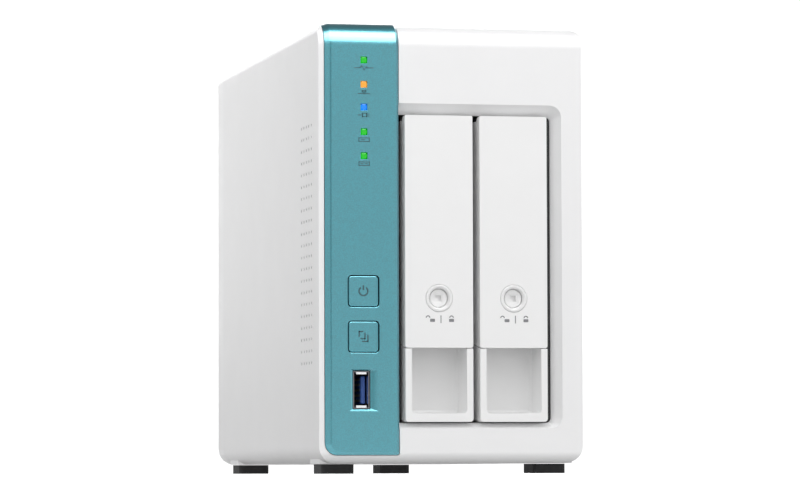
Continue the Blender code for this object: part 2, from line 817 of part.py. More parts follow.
def hard_drive(number, centre, carrier):
    """A casting with a raised lid, a socket at its rear end and four screw holes."""
    left = centre + CARRIER_LEFT + CARRIER_PLATE + GAP
    right = left + DRIVE_THICKNESS
    y0 = depth(DRIVE_FRONT)
    y1 = y0 + DRIVE_LENGTH
    z0 = DRIVE_Z - DRIVE_HEIGHT / 2
    z1 = DRIVE_Z + DRIVE_HEIGHT / 2
    casting = rounded(y0, y1, z0, z1, (DRIVE_CORNER,) * 4, 3)
    body = prism("X", left, right - LID_STEP, casting)
    lid = rounded(
        y0 + LID_MARGIN,
        y1 - LID_REAR_MARGIN,
        z0 + LID_MARGIN,
        z1 - LID_MARGIN,
        (LID_CORNER,) * 4,
        3,
    )
    join(body, prism("X", right - 2 * LID_STEP, right, lid))
    near, far, into, low, high = DRIVE_SOCKET
    cut(body, box(left + near, left + far, y1 - into, y1 + PAST, low, high))
    for y, z in DRIVE_SCREWS:
        hole = circle(depth(y), DRIVE_Z + z, DRIVE_HOLE_RADIUS, 12)
        cut(body, prism("X", left - PAST, left + DRIVE_HOLE_DEPTH, hole))
    origin = (centre, y0, DRIVE_Z)
    finish(body, f"hard_drive_{number}", aluminium(), origin, carrier)


def drive_screws(number, centre, carrier):
    left = centre + CARRIER_LEFT
    head_radius, head_height, shank_radius, length = DRIVE_SCREW
    for index, (y, z) in enumerate(DRIVE_SCREWS, 1):
        head = prism("X", left, left + head_height, circle(depth(y), DRIVE_Z + z, head_radius, 12))
        shank = circle(depth(y), DRIVE_Z + z, shank_radius, 8)
        shank = prism("X", left + head_height / 2, left + length, shank)
        join(head, shank)
        origin = (left, depth(y), DRIVE_Z + z)
        finish(head, f"drive_{number}_screw_{index}", steel(), origin, carrier)


def tray_handle(number, centre, carrier):
    """The hinged flap over the upper front, with side flanges, hinge pins and a lock barrel."""
    left = centre - TRAY_HALF
    right = centre + TRAY_HALF
    sides = [
        (depth(0), SPLIT_FRONT + GAP),
        (depth(SPLIT_LIP - GAP), SPLIT_FRONT + GAP),
        (depth(LEVER_DEPTH - GAP), SPLIT_REAR + GAP),
        (depth(LEVER_DEPTH - GAP), LEVER_TOP - GAP),
        (depth(FLANGE_DEPTH - GAP), SHOULDER_TOP - GAP),
    ]
    top_round = FLANGE_DEPTH - GAP - FLAP_EDGE
    sides += arc(depth(FLAP_EDGE), TRAY_TOP - top_round, top_round, 0, 90, 8)
    sides += arc(depth(FLAP_EDGE), TRAY_TOP - FLAP_EDGE, FLAP_EDGE, 90, 180, 3)[1:]
    body = prism("X", left, right, sides)
    hollow = box(
        left + TRAY_STRIP,
        right - TRAY_STRIP,
        depth(FLAP_SKIN),
        depth(LEVER_DEPTH + 1),
        SPLIT_FRONT - PAST,
        HINGE_Z - HOLLOW_DROP,
    )
    cut(body, hollow)
    front = HINGE_DEPTH - NOTCH_REACH
    for side in (-1, 1):
        near, far = sorted((centre + side * NOTCH_INNER, centre + side * (TRAY_HALF - TRAY_STRIP)))
        notch = [
            (depth(front), HINGE_Z - NOTCH_DROP),
            (depth(LEVER_DEPTH - PAST), HINGE_Z - NOTCH_DROP),
            (depth(LEVER_DEPTH - PAST), TRAY_TOP + PAST),
            (depth(NOTCH_REACH), TRAY_TOP + PAST),
            (depth(NOTCH_REACH), HINGE_Z + NOTCH_REACH),
            (depth(front), HINGE_Z + NOTCH_REACH),
        ]
        cut(body, prism("X", near, far, notch))
        pin = circle(depth(HINGE_DEPTH), HINGE_Z, PIN_RADIUS, 12)
        join(body, prism("X", near - PAST / 2, far + PAST / 2, pin))
    ring = circle(centre, LOCK_Z, LOCK_RING)
    bore = circle(centre, LOCK_Z, LOCK_PLUG + GAP)
    join(body, prism("Y", depth(-LOCK_PROUD), depth(BARREL_BACK), ring))
    cut(body, prism("Y", depth(-PAST), depth(BARREL_BACK + PAST), bore))
    origin = (centre, depth(HINGE_DEPTH), HINGE_Z)
    return finish(body, f"tray_handle_{number}", white_plastic(), origin, carrier)


def tray_lock(number, centre, handle):
    """A plug with a stepped key slot in its face and a cam on its rear end."""
    body = prism("Y", depth(LOCK_FACE), depth(PLUG_BACK), circle(centre, LOCK_Z, LOCK_PLUG))
    half, front, rear, reach = CAM
    cam = box(
        centre - half, centre + half, depth(front), depth(rear), LOCK_Z - half, LOCK_Z + reach
    )
    join(body, cam)
    slot = [(centre + u, LOCK_Z + v) for u, v in KEY]
    cut(body, prism("Y", depth(0), depth(KEY_DEPTH), slot))
    origin = (centre, depth(LOCK_FACE), LOCK_Z)
    finish(body, f"tray_lock_{number}", white_plastic(), origin, handle)


def trays():
    for number, centre in TRAY_CENTRES.items():
        carrier = tray(number, centre)
        hard_drive(number, centre, carrier)
        drive_screws(number, centre, carrier)
        handle = tray_handle(number, centre, carrier)
        tray_lock(number, centre, handle)


# --- Inner parts --------------------------------------------------------------------------------


def drive_cage():
    """Four walls round both trays, with rails that the carriers slide on and slots for air."""
    start = depth(COLLAR_DEPTH + GAP)
    end = depth(CAGE_END)
    cage = box(
        CAGE_LEFT - CAGE_WALL,
        CAGE_RIGHT + CAGE_WALL,
        start,
        end,
        CAGE_BOTTOM - CAGE_WALL,
        CAGE_TOP + CAGE_WALL,
    )
    cut(cage, box(CAGE_LEFT, CAGE_RIGHT, start - PAST, end + PAST, CAGE_BOTTOM, CAGE_TOP))
    rail_start = depth(TRAY_BACK + CAGE_WALL)
    rail_end = depth(CARRIER_END - RAIL)
    root_low = CAGE_BOTTOM - CAGE_WALL / 2
    root_high = CAGE_TOP + CAGE_WALL / 2
    spans = [(root_low, CARRIER_BOTTOM - GAP), (CARRIER_TOP + GAP, root_high)]
    rails = []
    for centre in TRAY_CENTRES.values():
        for offset in RAIL_OFFSETS:
            left = centre + offset
            rails += [(left, left + RAIL_WIDTH, low, high) for low, high in spans]
    middle = sum(TRAY_CENTRES.values()) / 2 + (CARRIER_LEFT + CARRIER_RIGHT) / 2
    low, high = RIDGE_TOPS
    rails.append((middle - RIDGE_HALF, middle + RIDGE_HALF, root_low, low))
    rails.append((middle - RIDGE_HALF, middle + RIDGE_HALF, high, root_high))
    for left, right, low, high in rails:
        join(cage, box(left, right, rail_start, rail_end, low, high))
    for i in range(CAGE_WINDOWS):
        y = depth(CAGE_WINDOW_START + i * CAGE_WINDOW_PITCH)
        corners = (WINDOW_CORNER,) * 4
        outline = rounded(y, y + CAGE_WINDOW_WIDTH, *CAGE_WINDOW_SPAN, corners, 2)
        cut(cage, prism("X", CAGE_LEFT - WALL, CAGE_RIGHT + WALL, outline))
    return finish(cage, "drive_cage", black_plastic())


def backplane():
    y = depth(CAGE_END + GAP)
    left, right, low, high = BACKPLANE
    board = box(left, right, y, y + BOARD, low, high)
    left, right, low, high = BACKPLANE_WINDOW
    for centre in TRAY_CENTRES.values():
        cut(board, box(centre + left, centre + right, y - PAST, y + BOARD + PAST, low, high))
    finish(board, "backplane_board", circuit_board())
    offset, width, front, low, high = PLUG
    for number, centre in TRAY_CENTRES.items():
        left = centre + CARRIER_LEFT + CARRIER_PLATE + GAP + offset
        plug = box(left, left + width, depth(front), depth(CAGE_END), low, high)
        finish(plug, f"sata_connector_{number}", black_plastic())


def main_board():
    face = MAIN_BOARD_X - BOARD
    front, rear, low, high = MAIN_BOARD
    board = box(face, MAIN_BOARD_X, depth(front), depth(rear), low, high)
    finish(board, "main_board", circuit_board())
    seat = face - GAP
    heat_sink(seat)
    memory_module(seat)
    y, z, radius, thickness = CELL
    cell = prism("X", seat - thickness, seat, circle(depth(y), z, radius, 24))
    finish(cell, "coin_cell", steel())


def heat_sink(seat):
    """A comb of upright fins on a thin base."""
    y0 = depth(SINK_DEPTH)
    pitch = (SINK_SIZE - FIN) / (FINS - 1)
    outline = [(seat, y0 + SINK_SIZE), (seat, y0)]
    for i in range(FINS):
        y = y0 + i * pitch
        outline += [(seat - SINK_HEIGHT, y), (seat - SINK_HEIGHT, y + FIN)]
        if i < FINS - 1:
            outline += [(seat - SINK_BASE, y + FIN), (seat - SINK_BASE, y + pitch)]
    sink = prism("Z", SINK_BOTTOM, SINK_BOTTOM + SINK_SIZE, outline)
    finish(sink, "soc_heatsink", aluminium())


def memory_module(seat):
    """A board on edge in its socket, with a row of chips."""

    def block(size, lift=0.0):
        near, far, front, rear, low, high = size
        return box(seat - far, seat - near, depth(front), depth(rear), low + lift, high + lift)

    board = block(MODULE)
    for i in range(CHIPS):
        join(board, block(CHIP, i * CHIP_PITCH))
    join(board, block(MODULE_SOCKET))
    finish(board, "memory_module", black_plastic())


def rear_sockets():
    rear = depth(SOCKET_REAR)
    wide, long, tall = LAN_SIZE
    near, step, far, half, half_step = LAN_MOUTH
    for number, z in LAN_Z.items():
        left = SOCKET_RIGHT - wide
        jack = box(left, SOCKET_RIGHT, rear - long, rear, z - tall / 2, z + tall / 2)
        mouth = [
            (left + near, z - half),
            (left + step, z - half),
            (left + step, z - half_step),
            (left + far, z - half_step),
            (left + far, z + half_step),
            (left + step, z + half_step),
            (left + step, z + half),
            (left + near, z + half),
        ]
        cut(jack, prism("Y", rear - LAN_MOUTH_DEPTH, rear + PAST, mouth))
        finish(jack, f"lan_port_{number}", steel())
    x = SOCKET_RIGHT - USB_WIDTH / 2
    back = rear - REAR_USB_LENGTH
    for number, z in REAR_USB_Z.items():
        socket = usb_shell(x, z, rear, back)
        root = back + USB_BACK_WALL / 2
        join(socket, usb_tongue(x - TONGUE_OFFSET, z, rear - PAST, root))
        finish(socket, f"rear_usb_{number}", steel())
    x = SOCKET_RIGHT - DC_SIZE / 2
    half = DC_SIZE / 2
    jack = box(x - half, x + half, rear - DC_LENGTH, rear, DC_Z - half, DC_Z + half)
    cut(jack, prism("Y", rear - DC_BORE_DEPTH, rear + PAST, circle(x, DC_Z, DC_BORE, 20)))
    pin = circle(x, DC_Z, DC_PIN, 12)
    join(jack, prism("Y", rear - DC_BORE_DEPTH - PAST, rear - DC_PIN_INSET, pin))
    finish(jack, "dc_jack", black_plastic())
    end = BODY_DEPTH - PAST
    button = prism("Y", depth(RESET_FRONT), depth(end), circle(RESET_X, RESET_Z, RESET_RADIUS, 12))
    low, high = RESET_COLLAR_SPAN
    join(button, prism("Y", depth(low), depth(high), circle(RESET_X, RESET_Z, RESET_COLLAR, 12)))
    finish(button, "reset_button", black_plastic(), (RESET_X, depth(end), RESET_Z))


# --- Fan ----------------------------------------------------------------------------------------


def fan_corners():
    return [(u, v) for u in (-FAN_HOLES, FAN_HOLES) for v in (-FAN_HOLES, FAN_HOLES)]


def fan():
    """The square frame, with the motor's seat on four struts, and its screws."""
    front = depth(FAN_REAR - FAN_THICKNESS)
    rear = depth(FAN_REAR)
    half = FAN_SIZE / 2
    corners = (FAN_CORNER,) * 4
    outline = rounded(FAN_X - half, FAN_X + half, FAN_Z - half, FAN_Z + half, corners, 3)
    frame = prism("Y", front, rear, outline)
    cut(frame, prism("Y", front - PAST, rear + PAST, circle(FAN_X, FAN_Z, FAN_BORE, 40)))
    seat = rear - STRUT_THICKNESS
    join(frame, prism("Y", seat, rear, circle(FAN_X, FAN_Z, HUB_RADIUS, 24)))
    strut = FAN_BORE + PAST / 2
    for dx, dz in ((strut, STRUT_HALF), (STRUT_HALF, strut)):
        join(frame, box(FAN_X - dx, FAN_X + dx, seat, rear, FAN_Z - dz, FAN_Z + dz))
    for u, v in fan_corners():
        hole = circle(FAN_X + u, FAN_Z + v, FAN_HOLE_RADIUS, 12)
        cut(frame, prism("Y", front - PAST, rear + PAST, hole))
    finish(frame, "fan_frame", black_plastic())
    head = depth(BODY_DEPTH - SCREW_SEAT)
    for index, (u, v) in enumerate(fan_corners(), 1):
        body = screw(FAN_X + u, head, FAN_Z + v, FAN_SCREW_LENGTH)
        finish(body, f"fan_screw_{index}", steel())


def fan_rotor():
    """A hub with pitched blades, trimmed to a circle that clears the frame's bore."""
    front = depth(FAN_REAR - FAN_THICKNESS + ROTOR_FRONT)
    rear = depth(FAN_REAR - ROTOR_REAR)
    rotor = prism("Y", front, rear, circle(0, 0, HUB_RADIUS, 28))
    middle = (front + rear) / 2
    thin, chord = BLADE_HALF
    for i in range(BLADES):
        blade = box(*BLADE_SPAN, -thin, thin, -chord, chord)
        pitch = Matrix.Rotation(math.radians(BLADE_PITCH), 4, "X")
        turn = Matrix.Rotation(2 * math.pi * i / BLADES, 4, "Y")
        lift = Matrix.Translation((0, middle * MM, 0))
        blade.data.transform(lift @ turn @ pitch)
        join(rotor, blade)
    common(rotor, prism("Y", front, rear, circle(0, 0, ROTOR_RADIUS, 48)))
    rotor.data.transform(Matrix.Translation((FAN_X * MM, 0, FAN_Z * MM)))
    finish(rotor, "fan_rotor", black_plastic(), (FAN_X, middle, FAN_Z))


def main():
    for obj in list(bpy.data.objects):
        bpy.data.objects.remove(obj)
    front_bezel()
    accent_panel()
    outer_cover()
    base_plate()
    rear_panel()
    feet()
    cover_screws()
    light_pipes()
    push_buttons()
    front_usb()
    front_board()
    trays()
    drive_cage()
    backplane()
    main_board()
    rear_sockets()
    fan()
    fan_rotor()


main()
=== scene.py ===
"""Looks of a two-bay desktop network attached storage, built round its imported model.

Shapes are worked out in millimetres and made in metres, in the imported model's frame: +Z is up,
the front faces -Y and the origin is on the floor. Sizes that a CAD node gives are read from it.
"""

import math

import bmesh
import bpy
from mathutils import Matrix, Vector


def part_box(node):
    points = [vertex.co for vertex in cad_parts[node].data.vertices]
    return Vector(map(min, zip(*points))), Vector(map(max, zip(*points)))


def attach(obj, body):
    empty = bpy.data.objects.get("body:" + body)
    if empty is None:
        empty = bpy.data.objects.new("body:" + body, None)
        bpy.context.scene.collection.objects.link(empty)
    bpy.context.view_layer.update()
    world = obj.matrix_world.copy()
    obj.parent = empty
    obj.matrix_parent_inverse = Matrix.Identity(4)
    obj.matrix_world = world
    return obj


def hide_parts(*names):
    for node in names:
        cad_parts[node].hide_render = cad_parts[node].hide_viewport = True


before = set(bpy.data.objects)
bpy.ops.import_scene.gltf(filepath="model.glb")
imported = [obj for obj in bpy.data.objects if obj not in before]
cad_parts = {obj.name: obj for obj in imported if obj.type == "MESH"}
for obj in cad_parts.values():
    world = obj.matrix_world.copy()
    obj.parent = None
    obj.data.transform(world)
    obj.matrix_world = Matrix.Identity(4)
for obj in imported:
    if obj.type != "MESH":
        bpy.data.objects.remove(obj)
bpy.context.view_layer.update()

MM = 0.001


def span(node):
    """Lowest and highest corner of a CAD node, in millimetres."""
    low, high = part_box(node)
    return Vector(low) / MM, Vector(high) / MM


def middle(node):
    low, high = span(node)
    return (low + high) / 2


# Housing
HOUSING_LOW, HOUSING_HIGH = span("outer_cover")
FRONT = span("front_bezel")[0].y
REAR = span("rear_panel")[1].y
LENGTH = REAR - FRONT
HALF_WIDTH = HOUSING_HIGH.x
HEIGHT = HOUSING_HIGH.z
UNDERSIDE = HOUSING_LOW.z
WALL = 2.0
GAP = 0.3
SEAM = 0.06
BOTTOM_CORNER = 6.5
TOP_CORNER = 3.5
FRONT_TOP_ROUND = 8.0
FRONT_BOTTOM_ROUND = 4.3
REAR_ROUND = 3.5
EDGE_ROUND = 1.8
BEZEL_BAND = 3.6
REAR_BAND = 12.0
BASE_HALF_WIDTH = 44.2
FEET = ("foot_front_left", "foot_front_right", "foot_rear_left", "foot_rear_right")
SCREWS = ("cover_screw_left", "cover_screw_right")
SHELF_EDGE = 49.0  # of the flat areas over the outer feet
SHELF_TOP = 7.5
UNDERSIDE_CUT = 9.0
BOSS_HALF = 3.5  # of the blocks that the rear screws go into
BOSS_LENGTH = 16.0
BOSS_BORE = 1.8
BOSS_BORE_DEPTH = 14.0
FOOT_CORNER = 1.2
FOOT_RIM = 0.3

# Vent holes in the left side
VENT_COLUMNS = 5
VENT_ROWS = 21
VENT_DEPTH = 14.1
VENT_COLUMN_PITCH = 4.9
VENT_ROW_PITCH = 4.5
VENT_BOTTOM = 41.9
VENT_RADIUS = 0.72
# how far in from the outer face the dark plugs of painted shade start in the vent holes
VENT_SHADE_INSET = 0.15

# Accent panel
PANEL_LOW, PANEL_HIGH = span("accent_panel")
PANEL_LEFT = PANEL_LOW.x
PANEL_RIGHT = PANEL_HIGH.x
PANEL_BOTTOM = PANEL_LOW.z
PRINT_ROOM = 0.03  # keeps the marks on the panel inside the CAD's box
PANEL_PROUD = FRONT - PANEL_LOW.y - PRINT_ROOM
PANEL_END = PANEL_HIGH.y - FRONT
PANEL_INSET = 0.8
PANEL_SEAM = 0.25
PANEL_CORNER = 4.5
PANEL_RIGHT_CORNER = 0.8
PANEL_RIM = 0.15
FACE_INSETS = (2.7, 1.1, 1.2, 1.0)  # left, right, bottom and top
FACE_CORNERS = (2.9, 0.5, 0.4, 0.4)
FACET_SHARE = 0.65
BEND_STEPS = 20
LEDS = {
    "led_status": "green",
    "led_network": "orange",
    "led_usb": "blue",
    "led_drive_1": "green",
    "led_drive_2": "green",
}
BUTTONS = ("power_button", "copy_button")
BUTTON_HALF = 5.75
BUTTON_HOLE = 6.03
BUTTON_CORNER = 1.3
BUTTON_HOLE_CORNER = 1.5
BUTTON_SINK = 0.25
BUTTON_RIM = 0.45
BUTTON_DISH = 0.12
BUTTON_BORDER = 1.1
LIGHT_GAP = 0.2
LIGHT_CORNER = 0.7
LIGHT_RIM = 0.35
USB_LOW, USB_HIGH = span("front_usb_shell")
USB_SHEET = 0.35
SCOOP_REACH = (1.8, 3.45, 1.0, 0.8)  # left, right, bottom and top
SCOOP_FLOOR = -0.1
TONGUE_SET_BACK = 2.2
CONTACTS = 5
CONTACT_PITCH = 2.0
PRINT_PROUD = 0.02
PRINT_SUNK = 0.1
MARK_WIDTH = 0.32
MARK_DROP = 3.0

# Tray opening
OPENING_RIGHT = 39.85
OPENING_BOTTOM = 19.1
OPENING_TOP = 135.5
BEVEL_RIGHT = 43.05
BEVEL_BOTTOM = 16.9
BEVEL_TOP = 139.5
BEVEL_DEPTH = 5.0
COLLAR_DEPTH = 6.0
BEVEL_CORNER = 4.5
OPENING_CORNER = 1.8

# Trays
TRAY_HALF = 13.1
TRAY_BOTTOM = span("tray_1")[0].z
TRAY_TOP = span("tray_handle_1")[1].z
TRAY_STRIP = 2.45
TRAY_FLOOR = 3.2
POCKET_DEPTH = 15.0
TRAY_BACK = 17.0
HINGE_DEPTH = 3.2
HINGE_Z = TRAY_TOP - HINGE_DEPTH
EAR_RADIUS = 1.6
EAR_NEAR = 8.7
EAR_FAR = 10.35
EAR_BORE = 1.0
HINGE_PIN = 0.7
NOTCH_NEAR = 8.4
NOTCH_FRONT = 2.0
NOTCH_REAR = 12.0
SPLIT_LIP = 1.0
SPLIT_FRONT = 47.0
SPLIT_REAR = 49.3
LEVER_DEPTH = 13.0
LEVER_TOP = 71.0
SHOULDER_TOP = 73.5
FLANGE_DEPTH = 8.0
FLAP_EDGE = 1.0
FLAP_SKIN = 3.0
CARRIER_LEFT = -14.0
CARRIER_RIGHT = 13.6
CARRIER_PLATE = 1.2
CARRIER_BOTTOM = 22.9
CARRIER_TOP = 131.6
CARRIER_END = 171.0
CARRIER_SLOTS = 5
CARRIER_SLOT_START = 34.0
CARRIER_SLOT_PITCH = 27.0
CARRIER_SLOT_WIDTH = 14.0
CARRIER_SLOT_REACH = 38.0
SCREW_HOLE = 3.0
RAIL = 3.2
GRIPS = 9
GRIP_START = 30.0
GRIP_PITCH = 14.0
GRIP_LENGTH = 6.0
GRIP_DEPTH = 0.5
LOCK_RING = 5.15
LOCK_PLUG = 3.5
LOCK_Z = span("tray_lock_1")[0].z + LOCK_PLUG
LOCK_FACE = 1.3
LOCK_RIM = 0.4
LOCK_BACK = 12.0
BARREL_FRONT = 1.5
BARREL_BACK = 9.5
CAM_FRONT = 10.2
CAM_HALF = 1.6
CAM_REACH = 6.5
KEY_FRAME = 1.75
KEY_REACH = 1.15
LOCK_MARKS_DROP = 7.6
LABEL_MARGINS = (22.0, 34.0, 14.0)  # front, rear, and both bottom and top
LABEL_CORNER = 2.0
SEAL_MARGIN = 18.0
SEAL_RADIUS = 6.0


def depth(d):
    """The y of a plane d millimetres behind the front face."""
    return FRONT + d


# --- Mesh helpers ---


def shape(bm):
    """Turns a bmesh in millimetres into an object in metres."""
    bmesh.ops.recalc_face_normals(bm, faces=bm.faces)
    bmesh.ops.scale(bm, vec=(MM, MM, MM), verts=bm.verts)
    mesh = bpy.data.meshes.new("shape")
    bm.to_mesh(mesh)
    bm.free()
    obj = bpy.data.objects.new("shape", mesh)
    bpy.context.scene.collection.objects.link(obj)
    return obj


def point(axis, level, u, v):
    """A point at level on an axis, with u and v along the two other axes in X, Y, Z order."""
    return {"X": (level, u, v), "Y": (u, level, v), "Z": (u, v, level)}[axis]


def loft(axis, sections):
    """A solid through outlines at successive levels along an axis."""
    bm = bmesh.new()
    rings = [
        [bm.verts.new(point(axis, level, u, v)) for u, v in outline] for level, outline in sections
    ]
    for low, high in zip(rings, rings[1:]):
        for i in range(len(low)):
            bm.faces.new((low[i - 1], low[i], high[i], high[i - 1]))
    bm.faces.new(rings[0])
    bm.faces.new(rings[-1])
    return shape(bm)


def prism(axis, low, high, outline):
    return loft(axis, [(low, outline), (high, outline)])


def box(x0, x1, y0, y1, z0, z1):
    return prism("Z", z0, z1, [(x0, y0), (x1, y0), (x1, y1), (x0, y1)])


def arc(u, v, radius, start, end, steps):
    """Points from the angle start to end, in degrees, about u, v."""
    angles = [math.radians(start + (end - start) * i / steps) for i in range(steps + 1)]
    return [(u + radius * math.cos(a), v + radius * math.sin(a)) for a in angles]


def circle(u, v, radius, sides=48):
    return arc(u, v, radius, 0, 360, sides)[:-1]


def rounded(u0, u1, v0, v1, radii, steps=8):
    """A rectangle with a radius at its lower left, lower right, upper right and upper left."""
    corners = [(u0, v0, 1, 1), (u1, v0, -1, 1), (u1, v1, -1, -1), (u0, v1, 1, -1)]
    outline = []
    for i, ((u, v, side, rise), radius) in enumerate(zip(corners, radii)):
        if radius == 0:
            outline.append((u, v))
            continue
        start = 180 + 90 * i
        outline += arc(u + side * radius, v + rise * radius, radius, start, start + 90, steps)
    return outline


def square(u, v, reach, corner, steps=8):
    """A square with round corners about u, v."""
    return rounded(u - reach, u + reach, v - reach, v + reach, (corner,) * 4, steps)


def rounded_over(face, rim, outline):
    """Sections that close a loft on its front face. outline(inset) is the outline, inset all round."""
    sections = [(face + rim, outline(0))]
    for share in (0.4, 0.7, 0.9, 1):
        inset = rim * (1 - math.sqrt(1 - share * share))
        sections.append((face + rim * (1 - share), outline(inset)))
    return sections


def combine(obj, other, operation):
    modifier = obj.modifiers.new("Boolean", "BOOLEAN")
    modifier.operation = operation
    modifier.solver = "EXACT"
    modifier.object = other
    graph = bpy.context.evaluated_depsgraph_get()
    before = obj.data
    result = bpy.data.meshes.new_from_object(obj.evaluated_get(graph))
    obj.modifiers.clear()
    obj.data = result
    bpy.data.meshes.remove(before)
    bpy.data.objects.remove(other)
    return obj


def join(obj, *others):
    for other in others:
        combine(obj, other, "UNION")
    return obj


def cut(obj, *others):
    for other in others:
        combine(obj, other, "DIFFERENCE")
    return obj


def common(obj, other):
    return combine(obj, other, "INTERSECT")


def duplicate(obj):
    copy = bpy.data.objects.new("shape", obj.data.copy())
    bpy.context.scene.collection.objects.link(copy)
    return copy


def merged(objects):
    """One object that holds separate bodies, such as the heads of several screws."""
    bm = bmesh.new()
    for obj in objects:
        bm.from_mesh(obj.data)
        mesh = obj.data
        bpy.data.objects.remove(obj)
        bpy.data.meshes.remove(mesh)
    bmesh.ops.scale(bm, vec=(1 / MM,) * 3, verts=bm.verts)
    return shape(bm)


def soften(obj, width, segments=2, angle=30, where=None):
    """Rounds the edges sharper than angle. where(a, b), in millimetres, can pick among them."""
    bm = bmesh.new()
    bm.from_mesh(obj.data)
    bmesh.ops.remove_doubles(bm, verts=bm.verts, dist=0.01 * MM)
    flat = math.radians(0.4)
    bmesh.ops.dissolve_limit(bm, angle_limit=flat, verts=bm.verts, edges=bm.edges)
    sharp = []
    for edge in bm.edges:
        if len(edge.link_faces) != 2 or edge.calc_face_angle(0) < math.radians(angle):
            continue
        a, b = (vert.co / MM for vert in edge.verts)
        if where is None or where(a, b):
            sharp.append(edge)
    bmesh.ops.bevel(
        bm,
        geom=sharp,
        offset=width * MM,
        offset_type="OFFSET",
        segments=segments,
        profile=0.5,
        affect="EDGES",
        clamp_overlap=True,
    )
    bm.to_mesh(obj.data)
    bm.free()
    return obj


def move(obj, x=0.0, y=0.0, z=0.0):
    obj.data.transform(Matrix.Translation((x * MM, y * MM, z * MM)))
    return obj


def shade(obj, angle=32):
    obj.data.shade_smooth()
    obj.data.set_sharp_from_angle(angle=math.radians(angle))
    weighted = obj.modifiers.new("Weighted normals", "WEIGHTED_NORMAL")
    weighted.keep_sharp = True


def finish(obj, name, surface, body, slot, *nodes):
    """Names a piece, gives it its material, ties it to a body and hides the nodes it replaces."""
    obj.name = name
    obj.data.name = name
    obj.data.materials.clear()
    obj.data.materials.append(surface)
    shade(obj)
    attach(obj, body)
    if nodes:
        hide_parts(*nodes)
    return obj


# --- Materials ---


class Surface:
    """A node material under construction, on object coordinates in metres."""

    def __init__(self, name, colour, roughness, metallic=0.0):
        self.material = bpy.data.materials.new(name)
        self.material.use_nodes = True
        self.tree = self.material.node_tree
        self.shader = self.tree.nodes["Principled BSDF"]
        self.colour = colour
        self.set("Base Color", (*colour, 1.0))
        self.set("Roughness", roughness)
        self.set("Metallic", metallic)
        self.place = self.node("ShaderNodeTexCoord").outputs["Object"]

    def node(self, kind, **values):
        made = self.tree.nodes.new(kind)
        for key, value in values.items():
            setattr(made, key, value)
        return made

    def link(self, out, into):
        self.tree.links.new(out, into)

    def set(self, name, value):
        self.shader.inputs[name].default_value = value

    def noise(self, size_mm, detail=2.0, stretch=(1, 1, 1)):
        """A noise value whose features are about size_mm across."""
        scale = self.node("ShaderNodeMapping")
        scale.inputs["Scale"].default_value = stretch
        self.link(self.place, scale.inputs["Vector"])
        noise = self.node("ShaderNodeTexNoise")
        noise.inputs["Scale"].default_value = 1 / (size_mm * MM)
        noise.inputs["Detail"].default_value = detail
        self.link(scale.outputs["Vector"], noise.inputs["Vector"])
        return noise.outputs["Fac"]

    def remap(self, value, low, high, start=0.3, end=0.7):
        ramp = self.node("ShaderNodeMapRange")
        ramp.inputs["From Min"].default_value = start
        ramp.inputs["From Max"].default_value = end
        ramp.inputs["To Min"].default_value = low
        ramp.inputs["To Max"].default_value = high
        self.link(value, ramp.inputs["Value"])
        return ramp.outputs["Result"]

    def vary_colour(self, value, dark, light, start=0.3, end=0.7):
        """Blends the base colour between two factors of itself."""
        mix = self.node("ShaderNodeMix", data_type="RGBA")
        mix.inputs["A"].default_value = (*(c * dark for c in self.colour), 1)
        mix.inputs["B"].default_value = (*(c * light for c in self.colour), 1)
        self.link(self.remap(value, 0, 1, start, end), mix.inputs["Factor"])
        self.link(mix.outputs["Result"], self.shader.inputs["Base Color"])

    def vary_roughness(self, value, low, high):
        self.link(self.remap(value, low, high), self.shader.inputs["Roughness"])

    def bump(self, value, height_mm, strength=1.0):
        bump = self.node("ShaderNodeBump")
        bump.inputs["Strength"].default_value = strength
        bump.inputs["Distance"].default_value = height_mm * MM
        self.link(value, bump.inputs["Height"])
        self.link(bump.outputs["Normal"], self.shader.inputs["Normal"])


def moulded(name, colour, roughness, grain_mm=0.35, height_mm=0.006):
    """Plastic from a spark-eroded mould: a fine grain and slightly uneven gloss."""
    surface = Surface(name, colour, roughness)
    surface.vary_colour(surface.noise(18, 3), 0.985, 1.0)
    surface.vary_roughness(surface.noise(6, 4), roughness - 0.05, roughness + 0.05)
    surface.bump(surface.noise(grain_mm, 3), height_mm, 0.6)
    return surface.material


def metallic_paint():
    """Teal paint with fine flakes under a thin clear coat."""
    surface = Surface("teal_satin", (0.006, 0.228, 0.285), 0.28, 0.85)
    flakes = surface.noise(0.32, 1)
    surface.vary_colour(flakes, 0.84, 1.12, 0.35, 0.65)
    surface.bump(surface.noise(0.45, 2), 0.012, 0.6)
    surface.set("Coat Weight", 1.0)
    surface.set("Coat IOR", 1.9)
    surface.set("Coat Roughness", 0.24)
    return surface.material


def metal(name, colour, roughness, grain_mm=0.8, stretch=(1, 1, 1)):
    surface = Surface(name, colour, roughness, 1.0)
    surface.vary_colour(surface.noise(9, 4), 0.9, 1.05)
    surface.vary_roughness(surface.noise(grain_mm, 3, stretch), roughness - 0.08, roughness + 0.1)
    surface.bump(surface.noise(grain_mm, 2, stretch), 0.006, 0.4)
    return surface.material


def rubber():
    surface = Surface("black_rubber", (0.012, 0.012, 0.013), 0.8)
    surface.vary_colour(surface.noise(3, 4), 0.8, 1.6)
    surface.bump(surface.noise(0.3, 3), 0.02, 0.7)
    return surface.material


def circuit():
    """Green solder mask over copper runs that show as faint straight ridges."""
    surface = Surface("solder_mask", (0.012, 0.11, 0.05), 0.32)
    runs = surface.node("ShaderNodeTexVoronoi", distance="MANHATTAN", feature="DISTANCE_TO_EDGE")
    runs.inputs["Scale"].default_value = 1 / (3.2 * MM)
    surface.link(surface.place, runs.inputs["Vector"])
    surface.vary_colour(runs.outputs["Distance"], 1.7, 0.8, 0.02, 0.12)
    surface.bump(surface.remap(runs.outputs["Distance"], 1, 0, 0.02, 0.1), 0.03, 0.6)
    return surface.material


